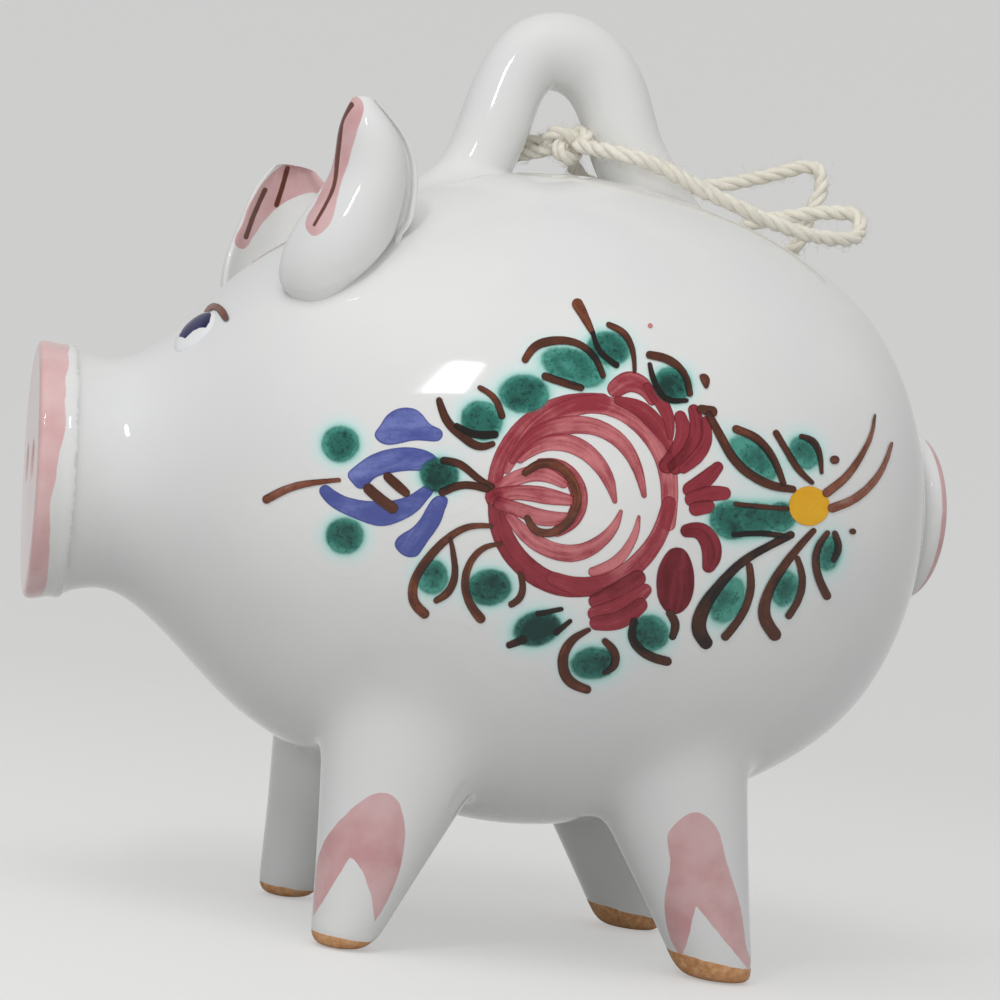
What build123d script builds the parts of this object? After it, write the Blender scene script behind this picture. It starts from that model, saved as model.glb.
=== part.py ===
from build123d import *
import math
import os

# A hand-made glazed pig with a clay loop on its back and a tied loop of twine.
# Millimetres. +Z is up, the snout points to -X and the pig's left flank to -Y.
# The origin is on the floor, under the middle of the length from snout to tail.

# Body: thrown on the wheel about its own axis, then stood a little nose down
axis_height = 44.6
body_middle = -0.55
nose_down = 4.9
body_radius = 33.4
belly_length = 85.0
neck_radius = 11.35
neck_from_middle = 39.0
wall = 3.6
wall_stations = 14

# Snout disc
snout_radius = 12.75
snout_depth = 3.3
snout_joint_radius = 12.15
neck_flare = 4.0
snout_edge = 1.1
nostril_radius = 1.35
nostril_apart = 8.6
nostril_rise = 0.8

# Legs: cones that lean fore and aft, cut flat by the floor
foot_track = 30.0
front_foot_x = -13.35
rear_foot_x = 24.75
front_foot_radius = 2.85
rear_foot_radius = 3.5
front_leg_radius = 11.6
rear_leg_radius = 10.1
leg_length = 30.0
front_lean = 12.0
rear_lean = -21.0
front_inward_lean = 5.0
rear_inward_lean = 2.5
right_rear_step_back = 1.7
foot_rounding = 0.9

# Ears: cupped petals that stand up from the sides of the head
ear_station = -19.8
ear_around = 38.2
ear_height = 20.0
ear_width = 11.0
ear_bulge = 5.4
ear_thickness = 2.5
# The right ear was pressed on a little further forward, and it is wider
right_ear_forward = 0.6
right_ear_width = 13.6

# Handle: an arched roll of clay, flared where it is pressed on the back
handle_station = 5.05
handle_span = 18.2
handle_rise = 13.2
handle_radius = 3.95

# Tail: a flat curled roll on the rump
tail_roll_radius = 1.4
tail_curl_radius = 7.9
tail_step = 3.5
tail_half_turns = 4
tail_stand = 0.55
tail_rise = 0.5
tail_end_rounding = 0.9

# Twine
twine_diameter = 1.5
knot_radius = 2.2
knot_gap = 0.15
knot_station = 6.1
knot_height = 3.7
knot_aside = 0.5

# How far a tool runs past what it cuts
overrun = 2.0

# Shares of the belly's length and of the body's radius, from the neck to the round of the rump
belly_shares = [
    (0.059, 0.420),
    (0.165, 0.676),
    (0.294, 0.858),
    (0.435, 0.981),
    (0.506, 1.000),
    (0.647, 0.960),
    (0.788, 0.849),
    (0.894, 0.669),
    (0.959, 0.411),
]

# Shares of the leg's length and of its growth in radius, from the foot to the top
leg_shares = [(-0.10, -0.06), (0.0, 0.0), (0.5, 0.46), (1.0, 1.0)]

# Shares of the handle's span and rise, and of its roll's radius, from the front foot over the top
handle_shares = [
    (-0.580, -0.439, 1.30),
    (-0.487, -0.165, 0.96),
    (-0.415, 0.116, 0.93),
    (-0.365, 0.392, 0.96),
    (-0.297, 0.727, 0.95),
    (-0.180, 0.940, 1.00),
    (-0.025, 1.000, 1.04),
    (0.130, 0.940, 1.03),
    (0.260, 0.780, 1.02),
    (0.350, 0.553, 1.00),
    (0.431, 0.318, 1.00),
    (0.553, 0.076, 1.03),
    (0.652, -0.190, 1.25),
    (0.726, -0.455, 1.50),
]

# Shares of the ear's height upward, rearward and outward, then of its width and thickness
left_ear_shares = [
    (-0.270, -0.030, -0.040, 0.55, 1.00),
    (-0.145, -0.040, -0.040, 0.82, 1.00),
    (-0.020, -0.010, -0.035, 0.98, 1.00),
    (0.180, 0.040, -0.010, 0.93, 1.00),
    (0.405, 0.090, 0.030, 0.75, 0.95),
    (0.605, 0.050, 0.065, 0.58, 0.80),
    (0.735, -0.010, 0.100, 0.24, 0.45),
]
right_ear_shares = [
    (-0.270, -0.030, -0.040, 0.48, 1.00),
    (-0.145, -0.038, -0.040, 0.70, 1.00),
    (-0.020, -0.015, -0.035, 0.86, 1.00),
    (0.180, 0.008, -0.010, 0.93, 1.00),
    (0.405, 0.035, 0.030, 0.85, 0.95),
    (0.605, 0.038, 0.065, 0.68, 0.80),
    (0.745, 0.015, 0.100, 0.36, 0.45),
]
ear_margin_share = 0.5

# The twine's route from one side of the knot round the rear arm of the handle and back
twine_route = [
    (7.0, -6.0, 80.8),
    (11.1, -6.7, 80.2),
    (15.7, -6.8, 78.5),
    (20.2, -7.1, 77.3),
    (26.2, -7.3, 75.9),
    (31.0, -6.5, 76.0),
    (34.7, -5.3, 77.0),
    (34.9, -3.8, 79.9),
    (32.2, -2.9, 79.8),
    (29.6, -1.9, 79.2),
    (26.6, -0.5, 78.4),
    (23.9, 1.6, 77.5),
    (25.2, 4.9, 76.6),
    (28.9, 5.4, 75.4),
    (31.5, 3.7, 76.4),
    (32.0, 3.0, 80.3),
    (33.5, 3.0, 83.9),
    (32.3, 3.7, 86.3),
    (27.7, 5.0, 84.2),
    (22.0, 6.1, 82.2),
    (16.4, 6.6, 80.7),
    (10.9, 6.8, 80.1),
    (6.1, 6.2, 79.9),
]

# The routes of the two cut ends, from the knot to behind the handle's front arm
end_routes = [
    [(1.3, 0.9, 82.5), (-0.2, 2.9, 82.3), (-2.3, 5.4, 81.7), (-4.6, 6.6, 80.9)],
    [(0.9, 0.7, 80.6), (-0.9, 2.6, 80.2), (-2.8, 5.4, 79.9), (-4.4, 7.0, 79.3)],
]
arc_share = 0.45


neck_station = -neck_from_middle
joint_station = neck_station - neck_flare
tip_station = neck_station + belly_length


def outer_points():
    points = [(joint_station, snout_joint_radius), (neck_station, neck_radius)]
    for along, across in belly_shares:
        points.append((neck_station + along * belly_length, across * body_radius))
    return points


# The skin's profile from the snout disc to the round of the rump, which is part of a ball
skin_points = outer_points()
round_station, round_radius = skin_points[-1]
round_depth = tip_station - round_station
rump_radius = (round_radius**2 + round_depth**2) / (2 * round_depth)
rump_middle = tip_station - rump_radius
flare_slope = 2 * (snout_joint_radius - neck_radius) / neck_flare
rump_slope = (round_station - rump_middle) / round_radius
end_tangents = {"tangents": ((1, -flare_slope), (1, -rump_slope)), "tangent_scalars": (1, 1)}
skin_line = Spline(*skin_points, **end_tangents)
stand = Location((body_middle, 0, axis_height), (0, -nose_down, 0))


def radius_at(station):
    low, high = 0.0, 1.0
    for step in range(40):
        middle = (low + high) / 2
        if (skin_line @ middle).X < station:
            low = middle
        else:
            high = middle
    return (skin_line @ low).Y


def on_skin(station, around=0.0):
    # around is in degrees from the top towards the left flank
    radius = radius_at(station)
    turn = math.radians(around)
    spot = Pos(station, -radius * math.sin(turn), radius * math.cos(turn))
    return (stand * spot).position


def lathe(edges):
    return revolve(make_face(edges), axis=Axis.X, revolution_arc=360)


def rump_arc(depth):
    # the round of the rump, this deep below the skin
    radius = rump_radius - depth
    half_turn = math.atan2(round_radius, round_station - rump_middle) / 2
    spots = []
    for turn in (2 * half_turn, half_turn, 0):
        spots.append((rump_middle + radius * math.cos(turn), radius * math.sin(turn)))
    return ThreePointArc(*spots)


def body_core():
    # the body as if it were solid, which the other clay pieces are cut to meet
    rump = rump_arc(0)
    front = skin_line @ 0
    centre = Vector(front.X, 0)
    edges = [skin_line, rump, Line(rump @ 1, centre), Line(centre, front)]
    return stand * lathe(edges)


def body_shell():
    inner = []
    for number in range(wall_stations):
        share = number / (wall_stations - 1)
        spot, along = skin_line @ share, skin_line % share
        inner.append((spot.X + wall * along.Y, spot.Y - wall * along.X))
    inner[0] = (joint_station, snout_joint_radius - wall)
    skin_rump, hollow_rump = rump_arc(0), rump_arc(wall)
    inner[-1] = hollow_rump @ 0
    hollow_line = Spline(*inner, **end_tangents)
    edges = [
        skin_line,
        skin_rump,
        Line(skin_rump @ 1, hollow_rump @ 1),
        hollow_rump,
        hollow_line,
        Line(hollow_line @ 0, skin_line @ 0),
    ]
    return stand * lathe(edges)


def snout_disc():
    back = joint_station
    face = back - snout_depth
    corners = [(back, 0), (back, snout_joint_radius), (face, snout_radius), (face, 0)]
    profile = make_face(Polyline(*corners, close=True))
    rim = profile.vertices().sort_by(Axis.Y)[-1]
    disc = revolve(fillet(rim, snout_edge), axis=Axis.X, revolution_arc=360)
    for side in (-1, 1):
        hole = Cylinder(nostril_radius, snout_depth + 2 * overrun, rotation=(0, 90, 0))
        middle = (face + back) / 2
        disc -= Pos(middle, side * nostril_apart / 2, nostril_rise) * hole
    return stand * disc


def leg(foot_x, side, foot_radius, leg_radius, lean, inward_lean):
    growth = leg_radius - foot_radius
    points = []
    for along, grown in leg_shares:
        points.append((foot_radius + grown * growth, along * leg_length))
    outline = Spline(*points)
    bottom, top = outline @ 0, outline @ 1
    edges = [
        outline,
        Line(top, (0, top.Y)),
        Line((0, top.Y), (0, bottom.Y)),
        Line((0, bottom.Y), bottom),
    ]
    profile = make_face([Plane.XZ * edge for edge in edges])
    cone = revolve(profile, axis=Axis.Z, revolution_arc=360)
    cone = Location((foot_x, side * foot_track / 2, 0), (side * inward_lean, lean, 0)) * cone
    cone = split(cone, bisect_by=Plane.XY, keep=Keep.TOP)
    floor_edge = cone.edges().sort_by(Axis.Z)[0]
    return fillet(floor_edge, foot_rounding) - body_core()


def ear_section(root, share_row, side, width):
    up, back, out, width_share, thick_share = share_row
    middle = root + Vector(back, side * out, up) * ear_height
    half = width_share * width / 2
    bulge = width_share * ear_bulge
    thick = thick_share * ear_thickness
    margin = ear_margin_share * thick
    front, rear = Vector(-half, 0), Vector(half, 0)
    lip = Vector(0, -side * margin)
    crown = Vector(0, side * bulge)
    hollow = Vector(0, side * (bulge - thick))
    outside = ThreePointArc(front, crown, rear)
    inside = ThreePointArc(front + lip, hollow, rear + lip)
    edges = [outside, Line(rear, rear + lip), inside, Line(front + lip, front)]
    return Pos(*middle) * make_face(edges)


def ear(side, station, width, shares):
    root = on_skin(station, -side * ear_around)
    petal = loft([ear_section(root, row, side, width) for row in shares])
    return petal - body_core()


def handle_loop():
    base = on_skin(handle_station)
    middles = []
    for along, up, across in handle_shares:
        middles.append(base + Vector(along * handle_span, 0, up * handle_rise))
    rings = []
    for number, middle in enumerate(middles):
        before = middles[max(number - 1, 0)]
        after = middles[min(number + 1, len(middles) - 1)]
        ring = Plane(origin=middle, x_dir=(0, 1, 0), z_dir=after - before)
        rings.append(ring * Circle(handle_shares[number][2] * handle_radius))
    return loft(rings) - body_core()


def tail_curl():
    # half circles, each one a step smaller, wound flat on the rump
    arcs = []
    centre, radius = 0.0, tail_curl_radius
    for number in range(tail_half_turns):
        start = -90 if number % 2 else 90
        arcs.append(CenterArc((0, centre), radius, start, 180))
        shrink = tail_step / 2
        centre += shrink if number % 2 else -shrink
        radius -= shrink
    path = Wire(arcs)
    section = Plane(origin=path @ 0, z_dir=path % 0) * Circle(tail_roll_radius)
    roll = sweep(section, path=path)
    flat_ends = roll.faces().filter_by(GeomType.PLANE)
    roll = fillet(flat_ends.edges(), tail_end_rounding)
    seat = (tip_station + tail_stand, 0, tail_rise)
    place = Plane(origin=seat, x_dir=(0, 1, 0), z_dir=(1, 0, 0))
    return stand * (place * roll) - body_core()


def knot_centre():
    spot = on_skin(knot_station)
    return spot + Vector(0, -knot_aside, knot_height)


def tube(points, name):
    places = [Vector(*point) for point in points]
    runs = [after - before for before, after in zip(places, places[1:])]
    radii = []
    for before, after in zip(runs, runs[1:]):
        turn = math.radians(before.get_angle(after))
        shorter = min(before.length, after.length)
        radii.append(arc_share * shorter / math.tan(turn / 2))
    path = FilletPolyline(*places, radius=radii)
    section = Plane(origin=path @ 0, z_dir=path % 0) * Circle(twine_diameter / 2)
    solid = sweep(section, path=path)
    length = path.length
    expected = length * math.pi * twine_diameter**2 / 4
    print(name, "length", round(length, 1), "volume ratio", round(solid.volume / expected, 4))
    print(name, "radii", [round(radius, 1) for radius in radii])
    return solid


def twine_knot():
    return Pos(*knot_centre()) * Sphere(knot_radius)


def twine_ends():
    ball = twine_knot()
    solids = []
    for number, route in enumerate(end_routes):
        solids.append(tube([knot_centre(), *route], f"twine end {number + 1}") - ball)
    return Compound(children=solids)


def beside_knot(point):
    way = (Vector(*point) - knot_centre()).normalized()
    return knot_centre() + way * (knot_radius + knot_gap)


def twine_loop():
    first, last = beside_knot(twine_route[0]), beside_knot(twine_route[-1])
    return tube([first, *twine_route, last], "twine loop")


nodes = {
    "body_shell": body_shell(),
    "snout_disc": snout_disc(),
    "handle_loop": handle_loop(),
    "tail_curl": tail_curl(),
    "twine_loop": twine_loop(),
    "twine_knot": twine_knot(),
    "twine_ends": twine_ends(),
    "ear_left": ear(-1, ear_station, ear_width, left_ear_shares),
}
right_ear_station = ear_station - right_ear_forward
nodes["ear_right"] = ear(1, right_ear_station, right_ear_width, right_ear_shares)
front_leg = (front_foot_radius, front_leg_radius, front_lean, front_inward_lean)
rear_leg = (rear_foot_radius, rear_leg_radius, rear_lean, rear_inward_lean)
for side, hand, rear_step in ((-1, "left", 0), (1, "right", right_rear_step_back)):
    nodes[f"leg_front_{hand}"] = leg(front_foot_x, side, *front_leg)
    nodes[f"leg_rear_{hand}"] = leg(rear_foot_x + rear_step, side, *rear_leg)

os.makedirs("parts", exist_ok=True)
for name, solid in nodes.items():
    export_step(solid, f"parts/{name}.step")
    box = solid.bounding_box()
    print(name, "from", box.min, "to", box.max)
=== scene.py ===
import math

import bpy
import numpy as np
from mathutils import Matrix, Vector


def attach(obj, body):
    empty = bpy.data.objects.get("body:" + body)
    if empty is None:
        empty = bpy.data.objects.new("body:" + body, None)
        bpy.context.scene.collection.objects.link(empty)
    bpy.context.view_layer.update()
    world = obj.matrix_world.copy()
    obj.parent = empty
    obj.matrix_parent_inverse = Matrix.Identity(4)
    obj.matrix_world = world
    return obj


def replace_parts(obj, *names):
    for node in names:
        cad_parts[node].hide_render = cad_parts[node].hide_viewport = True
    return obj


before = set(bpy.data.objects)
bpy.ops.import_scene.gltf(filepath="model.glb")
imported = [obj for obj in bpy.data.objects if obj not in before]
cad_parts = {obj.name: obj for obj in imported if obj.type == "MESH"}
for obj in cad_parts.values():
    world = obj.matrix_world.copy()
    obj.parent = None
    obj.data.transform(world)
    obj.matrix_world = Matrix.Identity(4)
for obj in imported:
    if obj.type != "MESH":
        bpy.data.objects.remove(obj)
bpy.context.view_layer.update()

mm = 0.001  # everything below is worked out in millimetres and scaled as it becomes a mesh


cameraLook = {
    "azimuth": -15.53107,
    "elevation": -3.346735,
    "roll": 7.487052,
    "distance": 215.0,
    "target": (0.64897, 0.0, 44.31403),
    "focal": 2088.667,  # in pixels of the picture
    "pictureWidth": 1000,
    "sensor": 36.0,
    "clipStart": 0.01,
}


def cameraAxes():
    a, e, r = (math.radians(cameraLook[k]) for k in ("azimuth", "elevation", "roll"))
    back = np.array((math.sin(a) * math.cos(e), -math.cos(a) * math.cos(e), math.sin(e)))
    level = np.cross(-back, (0, 0, 1))
    level /= np.linalg.norm(level)
    upright = np.cross(level, -back)
    right = level * math.cos(r) + upright * math.sin(r)
    up = -level * math.sin(r) + upright * math.cos(r)
    return right, up, back, np.array(cameraLook["target"]) + back * cameraLook["distance"]


def newObject(name, data):
    made = bpy.data.objects.new(name, data)
    bpy.context.scene.collection.objects.link(made)
    return made


camRight, camUp, camBack, camSpot = cameraAxes()
camData = bpy.data.cameras.new("photo_camera")
camData.sensor_width = cameraLook["sensor"]
camData.lens = cameraLook["focal"] / cameraLook["pictureWidth"] * cameraLook["sensor"]
camData.clip_start = cameraLook["clipStart"]
camera = newObject("photo_camera", camData)
camera.matrix_world = Matrix((
    (camRight[0], camUp[0], camBack[0], camSpot[0] * mm),
    (camRight[1], camUp[1], camBack[1], camSpot[1] * mm),
    (camRight[2], camUp[2], camBack[2], camSpot[2] * mm), (0, 0, 0, 1),
))
bpy.context.scene.camera = camera


def toPicture(spots):
    # where spots show in the picture, in pixels
    away = spots - camSpot
    depth = -away @ camBack
    focal, middle = cameraLook["focal"], cameraLook["pictureWidth"] / 2
    return np.stack([middle + focal * (away @ camRight) / depth,
                     middle - focal * (away @ camUp) / depth], 1)


def pictureRays(pixels):
    # the ways from the camera through picture points
    focal, middle = cameraLook["focal"], cameraLook["pictureWidth"] / 2
    across, up = (pixels[:, :1] - middle) / focal, (middle - pixels[:, 1:2]) / focal
    ray = camRight * across + camUp * up - camBack
    return ray / np.linalg.norm(ray, axis=1)[:, None]


def lengthAlong(points):
    return np.concatenate([[0], np.cumsum(np.linalg.norm(np.diff(points, axis=0), axis=1))])


def rowsAt(at, length, rows):
    # the rows of a line read at these lengths along it
    return np.stack([np.interp(at, length, column) for column in rows.T], 1)


def smoothCurve(points, count):
    # a cubic spline through the points: places, first and second derivatives along its length
    points = np.asarray(points, float)
    step = np.linalg.norm(np.diff(points, axis=0), axis=1)
    length = np.concatenate([[0], np.cumsum(step)])
    size = len(points)
    left = np.zeros((size, size))
    right = np.zeros(points.shape)
    left[0, 0] = left[-1, -1] = 1
    for i in range(1, size - 1):
        left[i, i - 1:i + 2] = step[i - 1], 2 * (step[i - 1] + step[i]), step[i]
        right[i] = 6 * ((points[i + 1] - points[i]) / step[i] - (points[i] - points[i - 1]) / step[i - 1])
    bend = np.linalg.solve(left, right)
    u = np.linspace(0, length[-1], count)
    i = np.clip(np.searchsorted(length, u, side="right") - 1, 0, size - 2)
    h = step[i][:, None]
    before, after = (u - length[i])[:, None], (length[i + 1] - u)[:, None]
    near, far = points[i] / h - bend[i] * h / 6, points[i + 1] / h - bend[i + 1] * h / 6
    place = (bend[i] * after**3 + bend[i + 1] * before**3) / (6 * h) + near * after + far * before
    slope = (bend[i + 1] * before**2 - bend[i] * after**2) / (2 * h) - near + far
    return u, place, slope, (bend[i] * after + bend[i + 1] * before) / h


def closedCurve(points, spacing=1.0):
    # a smooth closed line through the points
    points = [tuple(p) for p in points]
    around = np.array([*points[-3:], *points, *points[:4]], float)
    step = np.linalg.norm(np.diff(around, axis=0), axis=1)
    first, turn = step[:3].sum(), step[3:3 + len(points)].sum()
    reach, place = smoothCurve(around, int(step.sum() / spacing) + 20)[:2]
    return place[(reach >= first) & (reach < first + turn - spacing / 2)]


def smoothMin(a, b, width):
    # joins two fields with a fillet of this width
    near = np.maximum(width - np.abs(a - b), 0) / width
    return np.minimum(a, b) - near**3 * width / 6


def smoothMax(a, b, width):
    return -smoothMin(-a, -b, width)


def gradient(field, spots, step=0.02):
    slope = np.empty_like(spots)
    for axis in range(3):
        shift = np.zeros(3)
        shift[axis] = step
        slope[:, axis] = (field(spots + shift) - field(spots - shift)) / (2 * step)
    return slope


def settle(field, spots, rounds=3, most=0.5):
    # moves spots on to the surface where the field is nought
    for turn in range(rounds):
        slope = gradient(field, spots)
        move = slope * (field(spots) / np.maximum((slope**2).sum(1), 0.05))[:, None]
        reach = np.linalg.norm(move, axis=1)[:, None]
        spots = spots - move * np.minimum(1, most / np.maximum(reach, 1e-9))
    return spots


def unit(vectors):
    return vectors / np.maximum(np.linalg.norm(vectors, axis=-1, keepdims=True), 1e-12)


def newMesh(name, spots, faces, material, marks=None):
    mesh = bpy.data.meshes.new(name)
    mesh.from_pydata((np.asarray(spots) * mm).tolist(), [], [list(face) for face in faces])
    mesh.shade_smooth()
    for key, values in (marks or {}).items():
        layer = mesh.attributes.new(key, "FLOAT", "POINT")
        layer.data.foreach_set("value", np.asarray(values, np.float32))
    mesh.materials.append(material)
    return mesh


def makePiece(name, spots, faces, material, normals=None, marks=None):
    mesh = newMesh(name, spots, faces, material, marks)
    if normals is not None:
        mesh.normals_split_custom_set_from_vertices(unit(np.asarray(normals)).tolist())
    piece = newObject(name, mesh)
    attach(piece, "pig")
    return piece


def surfaceNet(values):
    # one vertex in each cell that the surface passes through, one quad for each crossed edge
    inside = values < 0
    total = sum(
        inside[a:inside.shape[0] - 1 + a, b:inside.shape[1] - 1 + b, c:inside.shape[2] - 1 + c].astype(int)
        for a in (0, 1) for b in (0, 1) for c in (0, 1)
    )
    mixed = (total > 0) & (total < 8)
    cells = np.argwhere(mixed)
    number = np.full(mixed.shape, -1)
    number[mixed] = np.arange(len(cells))
    place, hits = np.zeros((len(cells), 3)), np.zeros(len(cells))
    faces = []
    for axis, b, c in ((0, 1, 2), (1, 2, 0), (2, 0, 1)):
        for i in (0, 1):
            for j in (0, 1):
                offset = np.zeros(3, int)
                offset[b], offset[c] = i, j
                start = cells + offset
                end = start.copy()
                end[:, axis] += 1
                u, v = values[tuple(start.T)], values[tuple(end.T)]
                cross = (u < 0) != (v < 0)
                spot = np.tile(offset.astype(float), (len(cells), 1))
                spot[:, axis] = np.where(cross, u / np.where(cross, u - v, 1), 0)
                place += spot * cross[:, None]
                hits += cross
        low = np.moveaxis(inside, axis, 0)
        turned = np.argwhere(low[:-1] != low[1:])
        edge = np.empty_like(turned)
        rest = [n for n in range(3) if n != axis]
        edge[:, axis], edge[:, rest[0]], edge[:, rest[1]] = turned.T
        keep = np.ones(len(edge), bool)
        for side in (b, c):
            keep &= (edge[:, side] >= 1) & (edge[:, side] <= inside.shape[side] - 2)
        edge = edge[keep]
        corners = []
        for i, j in ((1, 1), (0, 1), (0, 0), (1, 0)):
            cell = edge.copy()
            cell[:, b] -= i
            cell[:, c] -= j
            corners.append(number[tuple(cell.T)])
        quads = np.stack(corners, 1)
        outward = inside[tuple(edge.T)]
        quads[~outward] = quads[~outward][:, ::-1]
        faces.append(quads)
    return cells + place / hits[:, None], np.concatenate(faces)


def fieldMesh(field, low, high, cell):
    # the surface where the field is nought, inside a box
    low, high = np.array(low, float), np.array(high, float)
    count = np.ceil((high - low) / cell).astype(int) + 1
    grid = np.stack(np.meshgrid(*(np.arange(n) for n in count), indexing="ij"), -1).reshape(-1, 3)
    values = np.concatenate([field(low + part * cell) for part in np.array_split(grid, 8)])
    spots, faces = surfaceNet(values.reshape(count))
    spots = settle(field, low + spots * cell, 3, cell * 0.4)
    return spots, faces


def outlineDistance(points, outline):
    # how far inside a closed outline each point lies, negative outside
    outline = np.asarray(outline, float)
    nearest = np.full(len(points), 1e9)
    inside = np.zeros(len(points), bool)
    for a, b in zip(outline, np.roll(outline, -1, axis=0)):
        run = b - a
        share = np.clip(((points - a) @ run) / (run @ run), 0, 1)
        nearest = np.minimum(nearest, np.linalg.norm(points - a - share[:, None] * run, axis=1))
        if a[1] != b[1]:
            above = (a[1] > points[:, 1]) != (b[1] > points[:, 1])
            crossing = a[0] + (points[:, 1] - a[1]) / (b[1] - a[1]) * run[0]
            inside ^= above & (points[:, 0] < crossing)
    return np.where(inside, nearest, -nearest)


def lineDistance(points, line, count=300):
    line = smoothCurve(line, count)[1]
    return np.linalg.norm(points[:, None, :] - line[None], axis=2).min(1)


markReach = 20.0  # pixels over which a mark goes from none to full
outlineStep = 3.0  # pixels between the points of a painted patch's outline


def asMark(distance):
    # 0.5 on the edge of a painted patch, so that a piece without the mark reads as bare glaze
    return np.clip(0.5 + distance / markReach, 0, 1)


def newMaterial(name):
    material = bpy.data.materials.new(name)
    material.use_nodes = True
    tree = material.node_tree
    shader = tree.nodes["Principled BSDF"]
    return material, tree, shader


def add(tree, kind, inputs=None, **settings):
    made = tree.nodes.new(kind)
    for key, value in settings.items():
        setattr(made, key, value)
    for key, value in (inputs or {}).items():
        if hasattr(value, "is_linked"):
            tree.links.new(value, made.inputs[key])
        else:
            made.inputs[key].default_value = value
    return made


def sums(tree, kind, a, b=0.0, c=0.0, clamp=False):
    return add(tree, "ShaderNodeMath", {0: a, 1: b, 2: c}, operation=kind, use_clamp=clamp).outputs[0]


def ease(tree, value, low, high, bottom=0.0, top=1.0):
    return add(tree, "ShaderNodeMapRange", {
        "Value": value, "From Min": low, "From Max": high, "To Min": bottom, "To Max": top,
    }, interpolation_type="SMOOTHSTEP").outputs["Result"]


def mixColour(tree, share, a, b):
    # sockets 6 and 7 and output 2 of this node are its colours
    return add(tree, "ShaderNodeMix", {0: share, 6: a, 7: b}, data_type="RGBA").outputs[2]


def noise(tree, vector, scale, detail=2.0, rough=0.5):
    return add(tree, "ShaderNodeTexNoise", {
        "Vector": vector, "Scale": scale, "Detail": detail, "Roughness": rough}).outputs["Fac"]


def sway(tree, vector, *settings):
    # noise round nought
    return sums(tree, "SUBTRACT", noise(tree, vector, *settings), 0.5)


def objectPlace(tree):
    return add(tree, "ShaderNodeTexCoord").outputs["Object"]


def readMark(tree, name):
    return add(tree, "ShaderNodeAttribute", attribute_name=name).outputs["Fac"]


glazeLook = {
    "white": (0.80, 0.80, 0.785, 1),
    "cloud": (0.755, 0.765, 0.76, 1),
    "pink": (0.68, 0.385, 0.39, 1),
    # painted light: a paler copy of the pink, used only on the snout, stands in for the brighter light the
    # snout catches
    "pinkDeep": (0.60, 0.305, 0.315, 1),
    "pinkLit": (0.77, 0.475, 0.475, 1),
    "brown": (0.13, 0.030, 0.018, 1),
    "clay": (0.55, 0.24, 0.09, 1),
    "clayPale": (0.76, 0.46, 0.24, 1),
    "speck": (0.10, 0.07, 0.06, 1),
    # each noise: scale, detail, roughness
    "broadNoise": (120.0, 2.0, 0.4),
    "fineNoise": (620.0, 2.0, 0.5),
    "waves": {"broad": 0.05, "fine": 0.0035, "strength": 0.35},
    "cloudNoise": (55.0, 3.0),
    "cloudRange": (0.35, 0.7),
    "raggedNoise": (900.0, 3.0),
    "ragged": {"pink": 0.10, "brown": 0.5},
    "washNoise": (260.0, 3.0),
    "washRange": (0.3, 0.75),
    "litPinkWash": (0.25, 0.8, 1.0, 0.55),
    "pinkWash": (0.1, 0.9, 0.78, 1.0),
    "washEdge": (0.48, 0.53),
    "speckScale": 210.0,
    "speckRare": 0.93,
    "speckRim": (0.012, 0.03, 1.0, 0.0),
    "speckStrength": 0.7,
    "crumbNoise": (1500.0, 5.0, 0.7),
    "crumbRange": (0.3, 0.7),
    "clayEdgeNoise": (420.0, 3.0),
    "clayEdge": 0.22,
    "clayRim": (0.49, 0.53),
    "pinholeRim": (0.02, 0.07),
    "pinhole": 0.02,
    "crumbHeight": 0.35,
    "roughness": 0.075,
    "clayRoughness": 0.9,
    "index": 1.5,
}


def glazeWaves(tree, where):
    look = glazeLook
    broad = sums(tree, "MULTIPLY", noise(tree, where, *look["broadNoise"]), look["waves"]["broad"])
    return sums(tree, "MULTIPLY_ADD", noise(tree, where, *look["fineNoise"]), look["waves"]["fine"], broad)


def glazeGloss(tree, shader, height, specular=0.5):
    shader.inputs["Roughness"].default_value = glazeLook["roughness"]
    shader.inputs["Specular IOR Level"].default_value = specular
    shader.inputs["IOR"].default_value = glazeLook["index"]
    bump = add(tree, "ShaderNodeBump", {
        "Height": height, "Strength": glazeLook["waves"]["strength"], "Distance": mm})
    tree.links.new(bump.outputs[0], shader.inputs["Normal"])


def plainGlaze(tree, where):
    look = glazeLook
    cloudy = ease(tree, noise(tree, where, *look["cloudNoise"]), *look["cloudRange"])
    return mixColour(tree, cloudy, look["white"], look["cloud"])


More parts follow.
